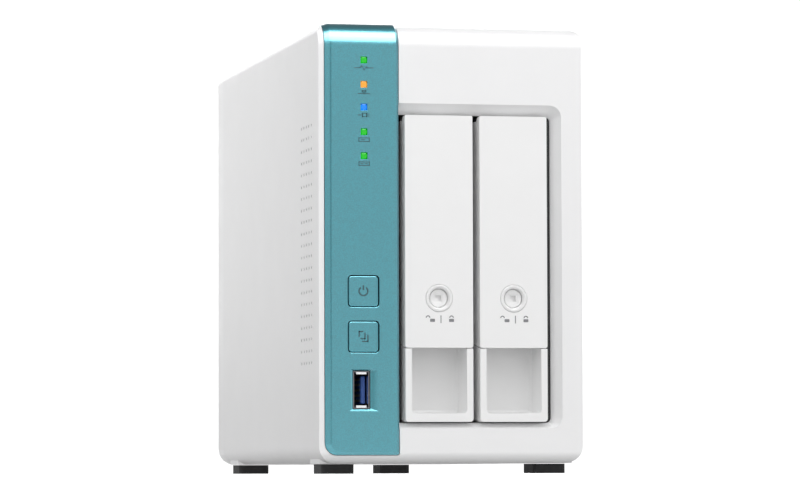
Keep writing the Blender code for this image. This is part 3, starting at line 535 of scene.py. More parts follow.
def glow(name, colour, strength):
    """A lit diffusing lens."""
    surface = Surface(name, tuple(c * 0.12 for c in colour), 0.3)
    surface.set("Emission Color", (*colour, 1.0))
    surface.link(
        surface.remap(surface.noise(0.5, 2), strength * 0.85, strength * 1.1),
        surface.shader.inputs["Emission Strength"],
    )
    return surface.material


def ink(name, colour):
    surface = Surface(name, colour, 0.55)
    surface.vary_colour(surface.noise(0.2, 3), 0.8, 1.2)
    return surface.material


WHITE = moulded("white_plastic", (0.91, 0.91, 0.915), 0.42)
COVER = moulded("cover_plastic", (0.9, 0.9, 0.905), 0.48, 0.5, 0.01)
TRAY = moulded("tray_plastic", (0.92, 0.92, 0.92), 0.42)
LOCK = moulded("lock_plastic", (0.88, 0.88, 0.88), 0.35)
BLACK = moulded("black_plastic", (0.018, 0.018, 0.02), 0.45)
SATIN_BLACK = moulded("satin_black", (0.03, 0.03, 0.032), 0.3)
# Dark grey for the plugs in the vent holes: painted shade standing for the shadow inside the holes,
# not a part's own colour.
VENT_SHADE = moulded("vent_painted_shade", (0.16, 0.16, 0.165), 0.6)
TEAL = metallic_paint()
RUBBER = rubber()
SHEET = metal("zinc_sheet", (0.5, 0.51, 0.52), 0.36, 0.9)
BRIGHT = metal("bright_steel", (0.78, 0.79, 0.8), 0.22, 0.6)
# Dark steel for the screws and the USB contacts. On the USB shell it is painted shade: the shell is
# the same steel as its bright lips.
DARK_STEEL_AND_SHADE = metal("dark_steel_and_shade", (0.2, 0.2, 0.21), 0.35, 0.6)
ALUMINIUM = metal("aluminium", (0.72, 0.73, 0.74), 0.36, 0.5, (1, 12, 1))
DRIVE = metal("drive_lid", (0.46, 0.47, 0.48), 0.36, 0.5, (1, 6, 1))
BOARD = circuit()
USB_BLUE = ink("usb_blue", (0.001, 0.045, 0.22))
DARK_TEAL = ink("dark_teal_ink", (0.012, 0.07, 0.085))
GREY_INK = ink("grey_ink", (0.2, 0.2, 0.21))
LABEL = ink("plain_label", (0.7, 0.7, 0.68))
GLOWS = {
    "green": glow("green_lens", (0.002, 0.5, 0.006), 1.0),
    "orange": glow("orange_lens", (1.0, 0.4, 0.04), 0.95),
    "blue": glow("blue_lens", (0.0, 0.25, 1.0), 0.95),
}


# --- Housing ---


def front_outline(inset=0.0):
    return rounded(
        -HALF_WIDTH + inset,
        HALF_WIDTH - inset,
        UNDERSIDE + inset,
        HEIGHT - inset,
        (BOTTOM_CORNER - inset,) * 2 + (TOP_CORNER - inset,) * 2,
        12,
    )


def side_outline(inset=0.0):
    return rounded(
        FRONT + inset,
        REAR - inset,
        UNDERSIDE + inset,
        HEIGHT - inset,
        (
            FRONT_BOTTOM_ROUND - inset,
            REAR_ROUND - inset,
            REAR_ROUND - inset,
            FRONT_TOP_ROUND - inset,
        ),
        16,
    )


def across(outline):
    return prism("X", -2 * HALF_WIDTH, 2 * HALF_WIDTH, outline)


def slab(low, high):
    """Everything between two depths, to trim the housing with."""
    reach = 2 * HEIGHT
    return box(-reach, reach, depth(low), depth(high), -reach, reach)


def housing():
    body = prism("Y", FRONT, REAR, front_outline())
    common(body, across(side_outline()))
    return soften(body, EDGE_ROUND, 4)


def panel_outline(grow=0.0):
    return rounded(
        PANEL_LEFT - grow,
        PANEL_RIGHT + grow,
        PANEL_BOTTOM - grow,
        HEIGHT + 2 * PANEL_PROUD,
        (PANEL_CORNER + grow, PANEL_RIGHT_CORNER + grow, 0, 0),
    )


def panel_holes(low, high, clearance=0.0):
    """Cutters for the light pipes, the buttons and the USB socket, between two depths."""
    holes = []
    for node in LEDS:
        a, b = span(node)
        side = LIGHT_GAP + clearance
        holes.append(
            box(a.x - side, b.x + side, depth(low), depth(high), a.z - side, b.z + side)
        )
    for node in BUTTONS:
        centre = middle(node)
        reach = BUTTON_HOLE + clearance
        outline = square(centre.x, centre.z, reach, BUTTON_HOLE_CORNER)
        holes.append(prism("Y", depth(low), depth(high), outline))
    left, right = USB_LOW.x - GAP, USB_HIGH.x + GAP
    bottom, top = USB_LOW.z - GAP, USB_HIGH.z + GAP
    holes.append(box(left, right, depth(low), depth(high), bottom, top))
    return holes


def front_bezel(body):
    bezel = common(duplicate(body), slab(-1, BEZEL_BAND))
    collar = box(
        PANEL_RIGHT - WALL,
        BEVEL_RIGHT + WALL,
        depth(BEZEL_BAND - 1),
        depth(COLLAR_DEPTH),
        BEVEL_BOTTOM - WALL,
        BEVEL_TOP + WALL,
    )
    join(bezel, collar)
    wide = (0, BEVEL_CORNER, BEVEL_CORNER, 0)
    narrow = (0, OPENING_CORNER, OPENING_CORNER, 0)
    mouth = rounded(PANEL_RIGHT, BEVEL_RIGHT, BEVEL_BOTTOM, BEVEL_TOP, wide)
    throat = rounded(PANEL_RIGHT, OPENING_RIGHT, OPENING_BOTTOM, OPENING_TOP, narrow)
    opening = loft(
        "Y",
        [
            (depth(-2), mouth),
            (depth(0), mouth),
            (depth(BEVEL_DEPTH), throat),
            (depth(COLLAR_DEPTH + 1), throat),
        ],
    )
    recess = panel_recess(PANEL_SEAM, BEZEL_BAND + 1)
    cut(bezel, opening, recess, *panel_holes(-2, BEZEL_BAND + 1, 0.15))
    soften(bezel, 0.35, 3, 30, lambda a, b: min(a.y, b.y) < depth(BEZEL_BAND - 0.1))
    return finish(bezel, "bezel_shell", WHITE, "chassis", "white_plastic", "front_bezel")


def panel_recess(grow, end):
    """The space that the accent panel lies in, to a depth behind the front face."""
    recess = prism("Y", depth(-2 * PANEL_PROUD), depth(end), panel_outline(grow))
    return cut(recess, across(side_outline(PANEL_INSET + GAP)))


def usb_scoop():
    """The shallow hollow round the USB socket, with four sloping sides."""
    corners = (0.3,) * 4
    left, right, bottom, top = SCOOP_REACH
    wide = rounded(
        USB_LOW.x - left, USB_HIGH.x + right, USB_LOW.z - bottom, USB_HIGH.z + top, corners, 3
    )
    narrow = rounded(USB_LOW.x - 0.1, USB_HIGH.x + 0.2, USB_LOW.z, USB_HIGH.z, corners, 3)
    above = 0.5
    slope = 1 + above / (PANEL_PROUD + SCOOP_FLOOR)
    beyond = [
        (n[0] + (w[0] - n[0]) * slope, n[1] + (w[1] - n[1]) * slope) for w, n in zip(wide, narrow)
    ]
    return loft("Y", [(-PANEL_PROUD - above, beyond), (SCOOP_FLOOR, narrow)])


def accent_panel():
    """Made flat, with x across and z along the path up the front, then bent over the top edge."""
    bend_start = HEIGHT - FRONT_TOP_ROUND
    bend_length = FRONT_TOP_ROUND * math.pi / 2
    top = bend_start + bend_length + PANEL_END - FRONT_TOP_ROUND
    corners = (PANEL_CORNER, PANEL_RIGHT_CORNER, 0.5, 0.5)
    edge = rounded(PANEL_LEFT, PANEL_RIGHT, PANEL_BOTTOM, top, corners)
    on_left, on_right, on_bottom, on_top = FACE_INSETS
    face = rounded(
        PANEL_LEFT + on_left,
        PANEL_RIGHT - on_right,
        PANEL_BOTTOM + on_bottom,
        top - on_top,
        FACE_CORNERS,
    )

    def between(share):
        return [
            (a[0] + (b[0] - a[0]) * share, a[1] + (b[1] - a[1]) * share) for a, b in zip(edge, face)
        ]

    rounding = (1 - FACET_SHARE) / 2
    slope = (PANEL_PROUD - PANEL_RIM) / (FACET_SHARE + rounding)
    sections = [(PANEL_INSET, edge), (-PANEL_RIM, edge)]
    for step in (0, 0.2, 0.4, 0.6, 0.8, 1):
        share = FACET_SHARE + (1 - FACET_SHARE) * step
        rise = FACET_SHARE + (1 - FACET_SHARE) * (step - step * step / 2)
        sections.append((-PANEL_RIM - slope * rise, between(share)))
    panel = loft("Y", sections)
    for cutter in panel_holes(-2, 4):
        cut(panel, move(cutter, y=-FRONT))
    cut(panel, usb_scoop())
    low_button = middle(BUTTONS[1]).z - 2 * BUTTON_HOLE
    high_button = middle(BUTTONS[0]).z + 2 * BUTTON_HOLE
    inner = PANEL_LEFT + 4

    def round_buttons(a, b):
        return low_button < (a.z + b.z) / 2 < high_button and min(a.x, b.x) > inner

    def round_holes(a, b):
        return round_buttons(a, b) and max(a.x, b.x) < PANEL_RIGHT - 3

    soften(panel, 0.45, 3, 25, round_holes)
    soften(panel, 0.25, 3, 40, lambda a, b: not round_buttons(a, b))
    bm = bmesh.new()
    bm.from_mesh(panel.data)
    for i in range(BEND_STEPS + 1):
        level = (bend_start + bend_length * i / BEND_STEPS) * MM
        geometry = bm.verts[:] + bm.edges[:] + bm.faces[:]
        bmesh.ops.bisect_plane(bm, geom=geometry, plane_co=(0, 0, level), plane_no=(0, 0, 1))
    for vert in bm.verts:
        x, inward, along = vert.co / MM
        bent = min(max(along - bend_start, 0.0), bend_length)
        angle = bent / FRONT_TOP_ROUND
        radius = FRONT_TOP_ROUND - inward
        y = FRONT + FRONT_TOP_ROUND - radius * math.cos(angle)
        z = bend_start + radius * math.sin(angle)
        beyond = max(along - bend_start - bend_length, 0.0)
        below = min(along - bend_start, 0.0)
        vert.co = Vector((x, y + beyond, z + below)) * MM
    bm.to_mesh(panel.data)
    bm.free()
    return finish(panel, "accent_strip", TEAL, "chassis", "teal_satin", "accent_panel")


def vent_bars(low, high, radius):
    """Short round bars in the pattern of the vent holes, in one object."""
    bars = []
    for column in range(VENT_COLUMNS):
        for row in range(VENT_ROWS):
            y = depth(VENT_DEPTH + column * VENT_COLUMN_PITCH)
            z = VENT_BOTTOM + row * VENT_ROW_PITCH
            bars.append(prism("X", low, high, circle(y, z, radius, 14)))
    return merged(bars)


def outer_cover(body):
    start = BEZEL_BAND + SEAM
    end = LENGTH - REAR_BAND - SEAM
    cover = common(duplicate(body), slab(start, end))
    hollow = prism("Y", depth(-5), depth(LENGTH), front_outline(WALL))
    round_front = (FRONT_BOTTOM_ROUND - WALL, 0, 0, FRONT_TOP_ROUND - WALL)
    open_rear = rounded(
        FRONT + WALL, REAR + WALL, UNDERSIDE + WALL - 0.01, HEIGHT - WALL + 0.01, round_front, 16
    )
    common(hollow, across(open_rear))
    slot = box(-BASE_HALF_WIDTH, BASE_HALF_WIDTH, depth(0), depth(LENGTH), 0, UNDERSIDE_CUT)
    cut(cover, hollow, slot, panel_recess(PANEL_SEAM, PANEL_END + PANEL_SEAM))
    for node in FEET:
        low, high = span(node)
        centre = (low + high) / 2
        if abs(centre.x) < BASE_HALF_WIDTH / 2:
            continue
        side = math.copysign(1, centre.x)
        near, far = sorted((side * BASE_HALF_WIDTH, side * SHELF_EDGE))
        shelf_start = max(depth(start), low.y - 1)
        join(cover, box(near, far, shelf_start, high.y + 1, UNDERSIDE, SHELF_TOP))
    for node in SCREWS:
        centre = middle(node)
        side = math.copysign(1, centre.x)
        near, far = sorted((centre.x - side * BOSS_HALF, side * (HALF_WIDTH - 1)))
        boss_start = depth(end - BOSS_LENGTH)
        join(cover, box(near, far, boss_start, depth(end), centre.z - BOSS_HALF, HEIGHT - 1))
        bore = circle(centre.x, centre.z, BOSS_BORE, 24)
        cut(cover, prism("Y", depth(end - BOSS_BORE_DEPTH), depth(end + 1), bore))
    cut(cover, vent_bars(-HALF_WIDTH - 1, -HALF_WIDTH + WALL + 1, VENT_RADIUS))
    # Dark grey plugs just inside the vent holes: painted shade standing for the shadow in the holes.
    shade_plugs = vent_bars(-HALF_WIDTH + VENT_SHADE_INSET, -HALF_WIDTH + WALL + 0.2, VENT_RADIUS + 0.02)
    finish(shade_plugs, "vent_painted_shade", VENT_SHADE, "chassis", "black_plastic")

    def off_the_vented_side(a, b):
        return max(abs(a.x + HALF_WIDTH), abs(b.x + HALF_WIDTH)) > 0.05

    soften(cover, 0.2, 2, 30, off_the_vented_side)
    return finish(cover, "cover_shell", COVER, "chassis", "cover_plastic", "outer_cover")


def feet():
    """Rubber pads, each with a slightly hollow sole."""
    for node in FEET:
        low, high = span(node)

        def outline(inset):
            corners = (FOOT_CORNER - inset,) * 4
            return rounded(
                low.x + inset, high.x - inset, low.y + inset, high.y - inset, corners, 4
            )

        sections = []
        for degrees in (67.5, 45, 22.5, 0):
            a = math.radians(degrees)
            inset = FOOT_RIM * (1 - math.cos(a))
            sections.append((low.z + FOOT_RIM * math.sin(a), outline(inset)))
        sections.append((high.z, outline(0)))
        pad = loft("Z", sections)
        finish(pad, node.replace("foot", "pad"), RUBBER, "chassis", "rubber", node)


# --- Front controls ---


def light_pipes():
    for node, colour in LEDS.items():
        low, high = span(node)

        def outline(inset):
            corners = (LIGHT_CORNER - inset,) * 4
            return rounded(
                low.x + inset, high.x - inset, low.z + inset, high.z - inset, corners, 4
            )

        lens = loft("Y", [(high.y, outline(0))] + rounded_over(low.y, LIGHT_RIM, outline))
        finish(lens, node.replace("led", "lens"), GLOWS[colour], "chassis", f"led_{colour}", node)


def printed(y, outline):
    """A mark on the plane y that stands a hair in front of it."""
    return prism("Y", y - PRINT_PROUD, y + PRINT_SUNK, outline)


def power_icon(x, z, y):
    """A broken ring with a bar through its gap."""
    outer = arc(x, z, 1.95, 125, 415, 30)
    inner = arc(x, z, 1.35, 415, 125, 30)
    ring = printed(y, outer + inner)
    bar = box(x - 0.3, x + 0.3, y - PRINT_PROUD, y + PRINT_SUNK, z + 0.35, z + 2.25)
    return merged([ring, bar])


def strokes(y, lines, width):
    """Thin flat bars along straight lines given by their ends, in one object."""
    bars = []
    for (x0, z0), (x1, z1) in lines:
        along = Vector((x1 - x0, z1 - z0)).normalized() * width / 2
        side = Vector((-along.y, along.x))
        start = Vector((x0, z0)) - along
        end = Vector((x1, z1)) + along
        outline = [start - side, end - side, end + side, start + side]
        bars.append(printed(y, [tuple(corner) for corner in outline]))
    return merged(bars)


def copy_icon(x, z, y):
    """Two overlapping sheets, drawn as corners."""
    first = [
        ((x - 1.65, z + 0.2), (x - 1.65, z + 1.95)),
        ((x - 1.65, z + 1.95), (x - 0.35, z + 1.95)),
        ((x + 0.55, z + 1.3), (x + 0.55, z - 0.75)),
        ((x + 0.55, z - 0.75), (x - 0.95, z - 0.75)),
    ]
    second = [
        ((x + 1.65, z + 0.5), (x + 1.65, z - 1.75)),
        ((x + 1.65, z - 1.75), (x - 0.35, z - 1.75)),
    ]
    return strokes(y, first + second, 0.5)


def push_buttons():
    icons = {"power_button": power_icon, "copy_button": copy_icon}
    for node, draw in icons.items():
        low, high = span(node)
        centre = (low + high) / 2

        def outline(inset):
            return square(centre.x, centre.z, BUTTON_HALF - inset, BUTTON_CORNER - inset)

        face = low.y + BUTTON_SINK
        rim = BUTTON_RIM
        sections = [(high.y, outline(0)), (face + rim, outline(0))]
        for i in range(1, 5):
            a = math.radians(22.5 * i)
            sections.append((face + rim * (1 - math.sin(a)), outline(rim * (1 - math.cos(a)))))
        sections.append((face + BUTTON_DISH, outline(BUTTON_BORDER)))
        cap = loft("Y", sections)
        finish(cap, node.replace("button", "cap"), TEAL, node, "teal_satin", node)
        icon = draw(centre.x, centre.z, face + BUTTON_DISH)
        finish(icon, node.replace("button", "icon"), DARK_TEAL, node, "black_plastic")


def status_marks():
    """Plain pictograms under the lights, in place of words."""
    face = FRONT - PANEL_PROUD

    def at(node, points):
        """Strokes under a light, from the x and z of their ends beside its middle."""
        centre = middle(node)
        top = centre.z - MARK_DROP
        return [((centre.x + a, top + b), (centre.x + c, top + d)) for a, b, c, d in points]

    pulse = [
        (-3.6, 0, -1.6, 0),
        (-1.6, 0, -0.9, 0.75),
        (-0.9, 0.75, 0.1, -0.75),
        (0.1, -0.75, 0.8, 0.35),
        (0.8, 0.35, 1.2, 0),
        (1.2, 0, 3.6, 0),
    ]
    net = [
        (-2.2, -0.55, 2.2, -0.55),
        (0, -0.55, 0, 0.1),
        (-0.7, 0.65, 0.7, 0.65),
        (-0.7, 0.1, 0.7, 0.1),
        (-0.7, 0.65, -0.7, 0.1),
        (0.7, 0.65, 0.7, 0.1),
    ]
    plug = [
        (-2.2, 0, -0.6, 0),
        (-0.6, 0.65, -0.6, -0.65),
        (-0.6, 0.65, 1.0, 0.65),
        (-0.6, -0.65, 1.0, -0.65),
        (1.0, 0.65, 1.0, -0.65),
        (1.0, 0.35, 2.0, 0.35),
        (1.0, -0.35, 2.0, -0.35),
    ]
    disk = [
        (-2.0, 0.65, 2.0, 0.65),
        (-2.0, -0.65, 2.0, -0.65),
        (-2.0, 0.65, -2.0, -0.65),
        (2.0, 0.65, 2.0, -0.65),
    ]
    one = disk + [(-1.0, 0, 0.2, 0)]
    two = disk + [(-1.2, 0, -0.5, 0), (0.5, 0, 1.2, 0)]
    marks = zip(LEDS, (pulse, net, plug, one, two))
    parts = [strokes(face, at(node, points), MARK_WIDTH) for node, points in marks]
    finish(merged(parts), "status_marks", DARK_TEAL, "chassis", "black_plastic")


def front_usb():
    """A steel shell with flared lips and an end tab at each end, and a blue tongue with contacts."""
    low, high = USB_LOW, USB_HIGH
    wall = USB_SHEET
    shell = box(low.x, high.x, low.y, high.y, low.z, high.z)
    cut(shell, box(low.x + wall, high.x - wall, low.y - 1, high.y - 1, low.z + wall, high.z - wall))
    soften(shell, 0.12, 2)
    # The shell takes a darker steel than its lips: painted shade for the shell's face in the shadowed
    # mouth of the socket.
    finish(shell, "usb_front_can", DARK_STEEL_AND_SHADE, "chassis", "sheet_steel", "front_usb_shell")
    mid_x = (low.x + high.x) / 2
    mid_z = (low.z + high.z) / 2
    lips = []
    for side in (-1, 1):
        z_out = mid_z + side * (high.z - low.z) / 2
        outline = [
            (low.y, z_out - side * 0.15),
            (low.y + 1.6, z_out - side * 1.1),
            (low.y + 1.8, z_out - side * 0.8),
        ]
        lips.append(prism("X", mid_x - 2.3, mid_x + 1.6, outline))
        near, far = sorted((z_out - side * 0.35, z_out - side * 1.15))
        lips.append(box(mid_x - 1.9, mid_x + 2.0, low.y + 0.1, low.y + 0.5, near, far))
        x_out = mid_x + side * (high.x - low.x) / 2
        ramp = [
            (x_out - side * 0.1, low.y),
            (x_out - side * 0.65, low.y + 1.6),
            (x_out - side * 0.4, low.y + 1.8),
        ]
        lips.append(prism("Z", mid_z - 5.2, mid_z + 5.2, ramp))
    finish(merged(lips), "usb_front_lips", BRIGHT, "chassis", "sheet_steel")
    tongue_low, tongue_high = span("front_usb_tongue")
    start = low.y + TONGUE_SET_BACK

    def outline(inset):
        return rounded(
            tongue_low.x + inset,
            tongue_high.x - inset,
            tongue_low.z + inset,
            tongue_high.z - inset,
            (0.3,) * 4,
            3,
        )

    blade = loft("Y", [(tongue_high.y, outline(0)), (start + 0.3, outline(0)), (start, outline(0.25))])
    finish(blade, "usb_front_tongue", USB_BLUE, "chassis", "usb_blue", "front_usb_tongue")
    pins = []
    for i in range(CONTACTS):
        z = mid_z + (i - (CONTACTS - 1) / 2) * CONTACT_PITCH
        x = tongue_low.x
        pins.append(box(x - 0.08, x + 0.1, start + 1.0, tongue_high.y, z - 0.45, z + 0.45))
    finish(merged(pins), "usb_front_contacts", DARK_STEEL_AND_SHADE, "chassis", "sheet_steel")
    back = box(low.x + wall, high.x - wall, high.y - 1.4, high.y - 1.0, low.z + wall, high.z - wall)
    finish(back, "usb_front_insulator", BLACK, "chassis", "black_plastic")


# --- Trays ---


def tray(number, centre):
    """The pocketed front with its hinge ears and the open carrier that holds one drive."""
    left = centre - TRAY_HALF
    right = centre + TRAY_HALF
    sides = [
        (depth(0), TRAY_BOTTOM),
        (depth(TRAY_BACK), TRAY_BOTTOM),
        (depth(TRAY_BACK), HINGE_Z + EAR_RADIUS),
        (depth(FLANGE_DEPTH), HINGE_Z + EAR_RADIUS),
        (depth(FLANGE_DEPTH), SHOULDER_TOP),
        (depth(LEVER_DEPTH), LEVER_TOP),
        (depth(LEVER_DEPTH), SPLIT_REAR),
        (depth(SPLIT_LIP), SPLIT_FRONT),
        (depth(0), SPLIT_FRONT),
    ]
    body = prism("X", left, right, sides)
    front_edge = rounded(left, right, TRAY_BOTTOM, HEIGHT, (1.2, 1.2, 0, 0))
    common(body, prism("Y", depth(-1), depth(TRAY_BACK + 1), front_edge))
    pocket = box(
        left + TRAY_STRIP,
        right - TRAY_STRIP,
        depth(-4),
        depth(POCKET_DEPTH),
        TRAY_BOTTOM + TRAY_FLOOR,
        HEIGHT + 5,
    )
    soften(pocket, 1.6, 4)
    cut(body, pocket)
    for side in (-1, 1):
        near, far = sorted((centre + side * EAR_NEAR, centre + side * EAR_FAR))
        tip = arc(depth(HINGE_DEPTH), HINGE_Z, EAR_RADIUS, 90, 270, 16)
        root = depth(POCKET_DEPTH + 1)
        ear = tip + [(root, HINGE_Z - EAR_RADIUS), (root, HINGE_Z + EAR_RADIUS)]
        join(body, prism("X", near, far, ear))
        bore = circle(depth(HINGE_DEPTH), HINGE_Z, EAR_BORE, 24)
        cut(body, prism("X", near - 1, far + 0.2, bore))
    start = depth(POCKET_DEPTH + 0.5)
    end = depth(CARRIER_END)
    low_x = centre + CARRIER_LEFT
    high_x = centre + CARRIER_RIGHT
    section = [
        (low_x, CARRIER_BOTTOM),
        (high_x, CARRIER_BOTTOM),
        (high_x, CARRIER_BOTTOM + RAIL),
        (low_x + CARRIER_PLATE, CARRIER_BOTTOM + RAIL),
        (low_x + CARRIER_PLATE, CARRIER_TOP - RAIL),
        (high_x, CARRIER_TOP - RAIL),
        (high_x, CARRIER_TOP),
        (low_x, CARRIER_TOP),
    ]
    join(body, prism("Y", start, end, section))
    drive = middle(f"hard_drive_{number}")
    plate_back = low_x + CARRIER_PLATE + 0.5
    for i in range(CARRIER_SLOTS):
        y = depth(CARRIER_SLOT_START + i * CARRIER_SLOT_PITCH)
        low_z = drive.z - CARRIER_SLOT_REACH
        high_z = drive.z + CARRIER_SLOT_REACH
        outline = rounded(y, y + CARRIER_SLOT_WIDTH, low_z, high_z, (3.0,) * 4, 6)
        cut(body, prism("X", low_x - 1, plate_back, outline))
    for index in range(1, 5):
        hole = middle(f"drive_{number}_screw_{index}")
        cut(body, prism("X", low_x - 1, plate_back, circle(hole.y, hole.z, SCREW_HOLE, 24)))
    grips = []
    for i in range(GRIPS):
        y = depth(GRIP_START + i * GRIP_PITCH)
        for z in (CARRIER_BOTTOM, CARRIER_TOP):
            grips.append(
                box(low_x + 3, high_x - 3, y, y + GRIP_LENGTH, z - GRIP_DEPTH, z + GRIP_DEPTH)
            )
    cut(body, merged(grips))
    soften(body, 0.25, 2)
    name = f"tray_{number}"
    finish(body, f"tray_shell_{number}", TRAY, name, "tray_plastic", name)


def padlock(x, z, y, is_open):
    """A small padlock: a solid body under a shackle, which is shifted aside when open."""
    width = 0.95
    body = printed(y, rounded(x - width, x + width, z - 1.35, z - 0.2, (0.2,) * 4, 3))
    shift = -1.75 if is_open else 0.0
    outer = arc(x + shift, z + 0.2, 0.9, 0, 180, 12)
    inner = arc(x + shift, z + 0.2, 0.5, 180, 0, 12)
    return [body, printed(y, outer + inner)]


def tray_handle(number, centre):
    """The hinged flap with its lock ring and padlock signs."""
    left = centre - TRAY_HALF
    right = centre + TRAY_HALF
    sides = [
        (depth(0), SPLIT_FRONT + GAP),
        (depth(SPLIT_LIP - GAP), SPLIT_FRONT + GAP),
        (depth(LEVER_DEPTH - GAP), SPLIT_REAR + GAP),
        (depth(LEVER_DEPTH - GAP), LEVER_TOP - GAP),
        (depth(FLANGE_DEPTH - GAP), SHOULDER_TOP - GAP),
    ]
    top_round = FLANGE_DEPTH - GAP - FLAP_EDGE
    sides += arc(depth(FLAP_EDGE), TRAY_TOP - top_round, top_round, 0, 90, 16)
    sides.append((depth(0), TRAY_TOP))
    body = prism("X", left, right, sides)
    front_edge = rounded(left, right, SPLIT_FRONT + GAP, TRAY_TOP, (0.8, 0.8, 0.6, 0.6), 6)
    common(body, prism("Y", depth(-1), depth(LEVER_DEPTH + 1), front_edge))
    hollow = box(
        left + TRAY_STRIP,
        right - TRAY_STRIP,
        depth(FLAP_SKIN),
        depth(LEVER_DEPTH + 5),
        SPLIT_FRONT - 5,
        HINGE_Z - 3.4,
    )
    soften(hollow, 1.0, 3)
    cut(body, hollow)
    for side in (-1, 1):
        near, far = sorted((centre + side * NOTCH_NEAR, centre + side * (TRAY_HALF - TRAY_STRIP)))
        notch = [
            (depth(HINGE_DEPTH - 2), HINGE_Z - 5),
            (depth(NOTCH_REAR), HINGE_Z - 5),
            (depth(NOTCH_REAR), HINGE_Z + 6),
            (depth(NOTCH_FRONT), HINGE_Z + 6),
            (depth(NOTCH_FRONT), HINGE_Z + 2),
            (depth(HINGE_DEPTH - 2), HINGE_Z + 2),
        ]
        cut(body, prism("X", near, far, notch))
        pin = circle(depth(HINGE_DEPTH), HINGE_Z, HINGE_PIN, 24)
        join(body, prism("X", near - 0.5, far + 0.5, pin))
    barrel = circle(centre, LOCK_Z, LOCK_RING, 64)
    bore = circle(centre, LOCK_Z, LOCK_PLUG + GAP, 64)
    seat = circle(centre, LOCK_Z, LOCK_RING + 0.12, 96)
    join(body, prism("Y", depth(BARREL_FRONT), depth(BARREL_BACK), barrel))
    cut(body, prism("Y", depth(-1), depth(BARREL_BACK + 0.5), bore))
    cut(body, prism("Y", depth(-1), depth(1.2), seat))
    soften(body, 0.3, 3)
    name = f"tray_handle_{number}"
    finish(body, f"flap_{number}", TRAY, name, "tray_plastic", name)
    ring_profile = [
        (3.55, 1.2),
        (LOCK_RING, 1.2),
        (LOCK_RING, 0.05),
        (LOCK_RING - 0.1, -0.12),
        (LOCK_RING - 0.3, -0.2),
        (4.35, -0.22),
        (4.05, -0.1),
        (3.85, 0.25),
        (3.6, 0.9),
    ]
    ring = turned(centre, LOCK_Z, ring_profile)
    finish(ring, f"lock_ring_{number}", LOCK, name, "lock_plastic")
    marks_z = LOCK_Z - LOCK_MARKS_DROP
    icons = padlock(centre - 2.65, marks_z, depth(0), True)
    icons += padlock(centre + 4.7, marks_z, depth(0), False)
    front, rear = depth(-PRINT_PROUD), depth(PRINT_SUNK)
    icons.append(box(centre + 0.45, centre + 0.8, front, rear, LOCK_Z - 9.4, LOCK_Z - 6.5))
    finish(merged(icons), f"lock_marks_{number}", GREY_INK, name, "black_plastic")


def turned(x, z, profile, sides=96):
    """A ring turned about a line along Y: (radius, depth) points, closed."""
    bm = bmesh.new()
    loops = []
    for i in range(sides):
        angle = 2 * math.pi * i / sides
        along, up = math.cos(angle), math.sin(angle)
        loops.append([bm.verts.new((x + r * along, depth(d), z + r * up)) for r, d in profile])
    for i, loop in enumerate(loops):
        for k in range(len(loop)):
            bm.faces.new((loops[i - 1][k - 1], loops[i - 1][k], loop[k], loop[k - 1]))
    return shape(bm)


def tray_lock(number, centre):
    """A plug with a stepped key slot in a shallow square, set back inside its ring."""

    def outline(inset):
        return circle(centre, LOCK_Z, LOCK_PLUG - inset, 64)

    face = depth(LOCK_FACE)
    body = loft("Y", [(depth(LOCK_BACK), outline(0))] + rounded_over(face, LOCK_RIM, outline))
    key_frame = square(centre, LOCK_Z, KEY_FRAME, 0.35, 4)
    cut(body, prism("Y", depth(0), face + 0.35, key_frame))
    key = [(-1, 1), (-1, 0), (0, 0), (0, -1), (1, -1), (1, 1)]
    slot = [(centre + u * KEY_REACH, LOCK_Z + v * KEY_REACH) for u, v in key]
    cut(body, prism("Y", depth(0), face + 1.5, slot))
    cam = box(
        centre - CAM_HALF,
        centre + CAM_HALF,
        depth(CAM_FRONT),
        depth(LOCK_BACK),
        LOCK_Z - CAM_HALF,
        LOCK_Z + CAM_REACH,
    )
    join(body, cam)
    soften(body, 0.1, 2, 50)
    name = f"tray_lock_{number}"
    finish(body, f"lock_plug_{number}", LOCK, name, "lock_plastic", name)


def trays():
    for number in (1, 2):
        centre = middle(f"tray_handle_{number}").x
        tray(number, centre)
        tray_handle(number, centre)
        tray_lock(number, centre)


# --- Kept CAD nodes ---


def keep(node, surface, width=0.3, segments=2):
    """Rounds a CAD node's edges with modifiers and gives it a material."""
    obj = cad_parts[node]
    weld = obj.modifiers.new("Weld", "WELD")
    weld.merge_threshold = 0.00001
    flat = obj.modifiers.new("Flat faces", "DECIMATE")
    flat.decimate_type = "DISSOLVE"
    flat.angle_limit = math.radians(1)
    bevel = obj.modifiers.new("Edges", "BEVEL")
    bevel.width = width * MM
    bevel.segments = segments
    bevel.limit_method = "ANGLE"
    bevel.angle_limit = math.radians(35)
    bevel.harden_normals = False
    weighted = obj.modifiers.new("Weighted normals", "WEIGHTED_NORMAL")
    weighted.keep_sharp = True
    for place in obj.material_slots:
        place.material = surface


def kept_nodes():
    keep("rear_panel", WHITE, 0.4, 3)
    keep("base_plate", WHITE)
    keep("drive_cage", BLACK, 0.2)
    for node in ("main_board", "backplane_board", "front_io_board"):
        keep(node, BOARD, 0.15)
    keep("memory_module", BLACK, 0.1)
    keep("coin_cell", BRIGHT, 0.5, 3)
    keep("soc_heatsink", ALUMINIUM, 0.15)
    keep("fan_frame", BLACK, 0.5, 3)
    keep("fan_rotor", SATIN_BLACK, 0.3, 2)
    keep("dc_jack", BLACK, 0.3)
    keep("reset_button", BLACK, 0.15)
    for number in (1, 2):
        keep(f"lan_port_{number}", SHEET, 0.2)
        keep(f"rear_usb_{number}", BRIGHT, 0.15)
        keep(f"sata_connector_{number}", BLACK, 0.2)
        keep(f"hard_drive_{number}", DRIVE, 0.6, 3)
        for index in range(1, 5):
            keep(f"drive_{number}_screw_{index}", BRIGHT, 0.15)
    for node in ("power_switch", "copy_switch"):
        keep(node, BLACK, 0.2)
    for node in SCREWS:
        keep(node, DARK_STEEL_AND_SHADE, 0.15)
    for index in range(1, 5):
        keep(f"fan_screw_{index}", DARK_STEEL_AND_SHADE, 0.15)


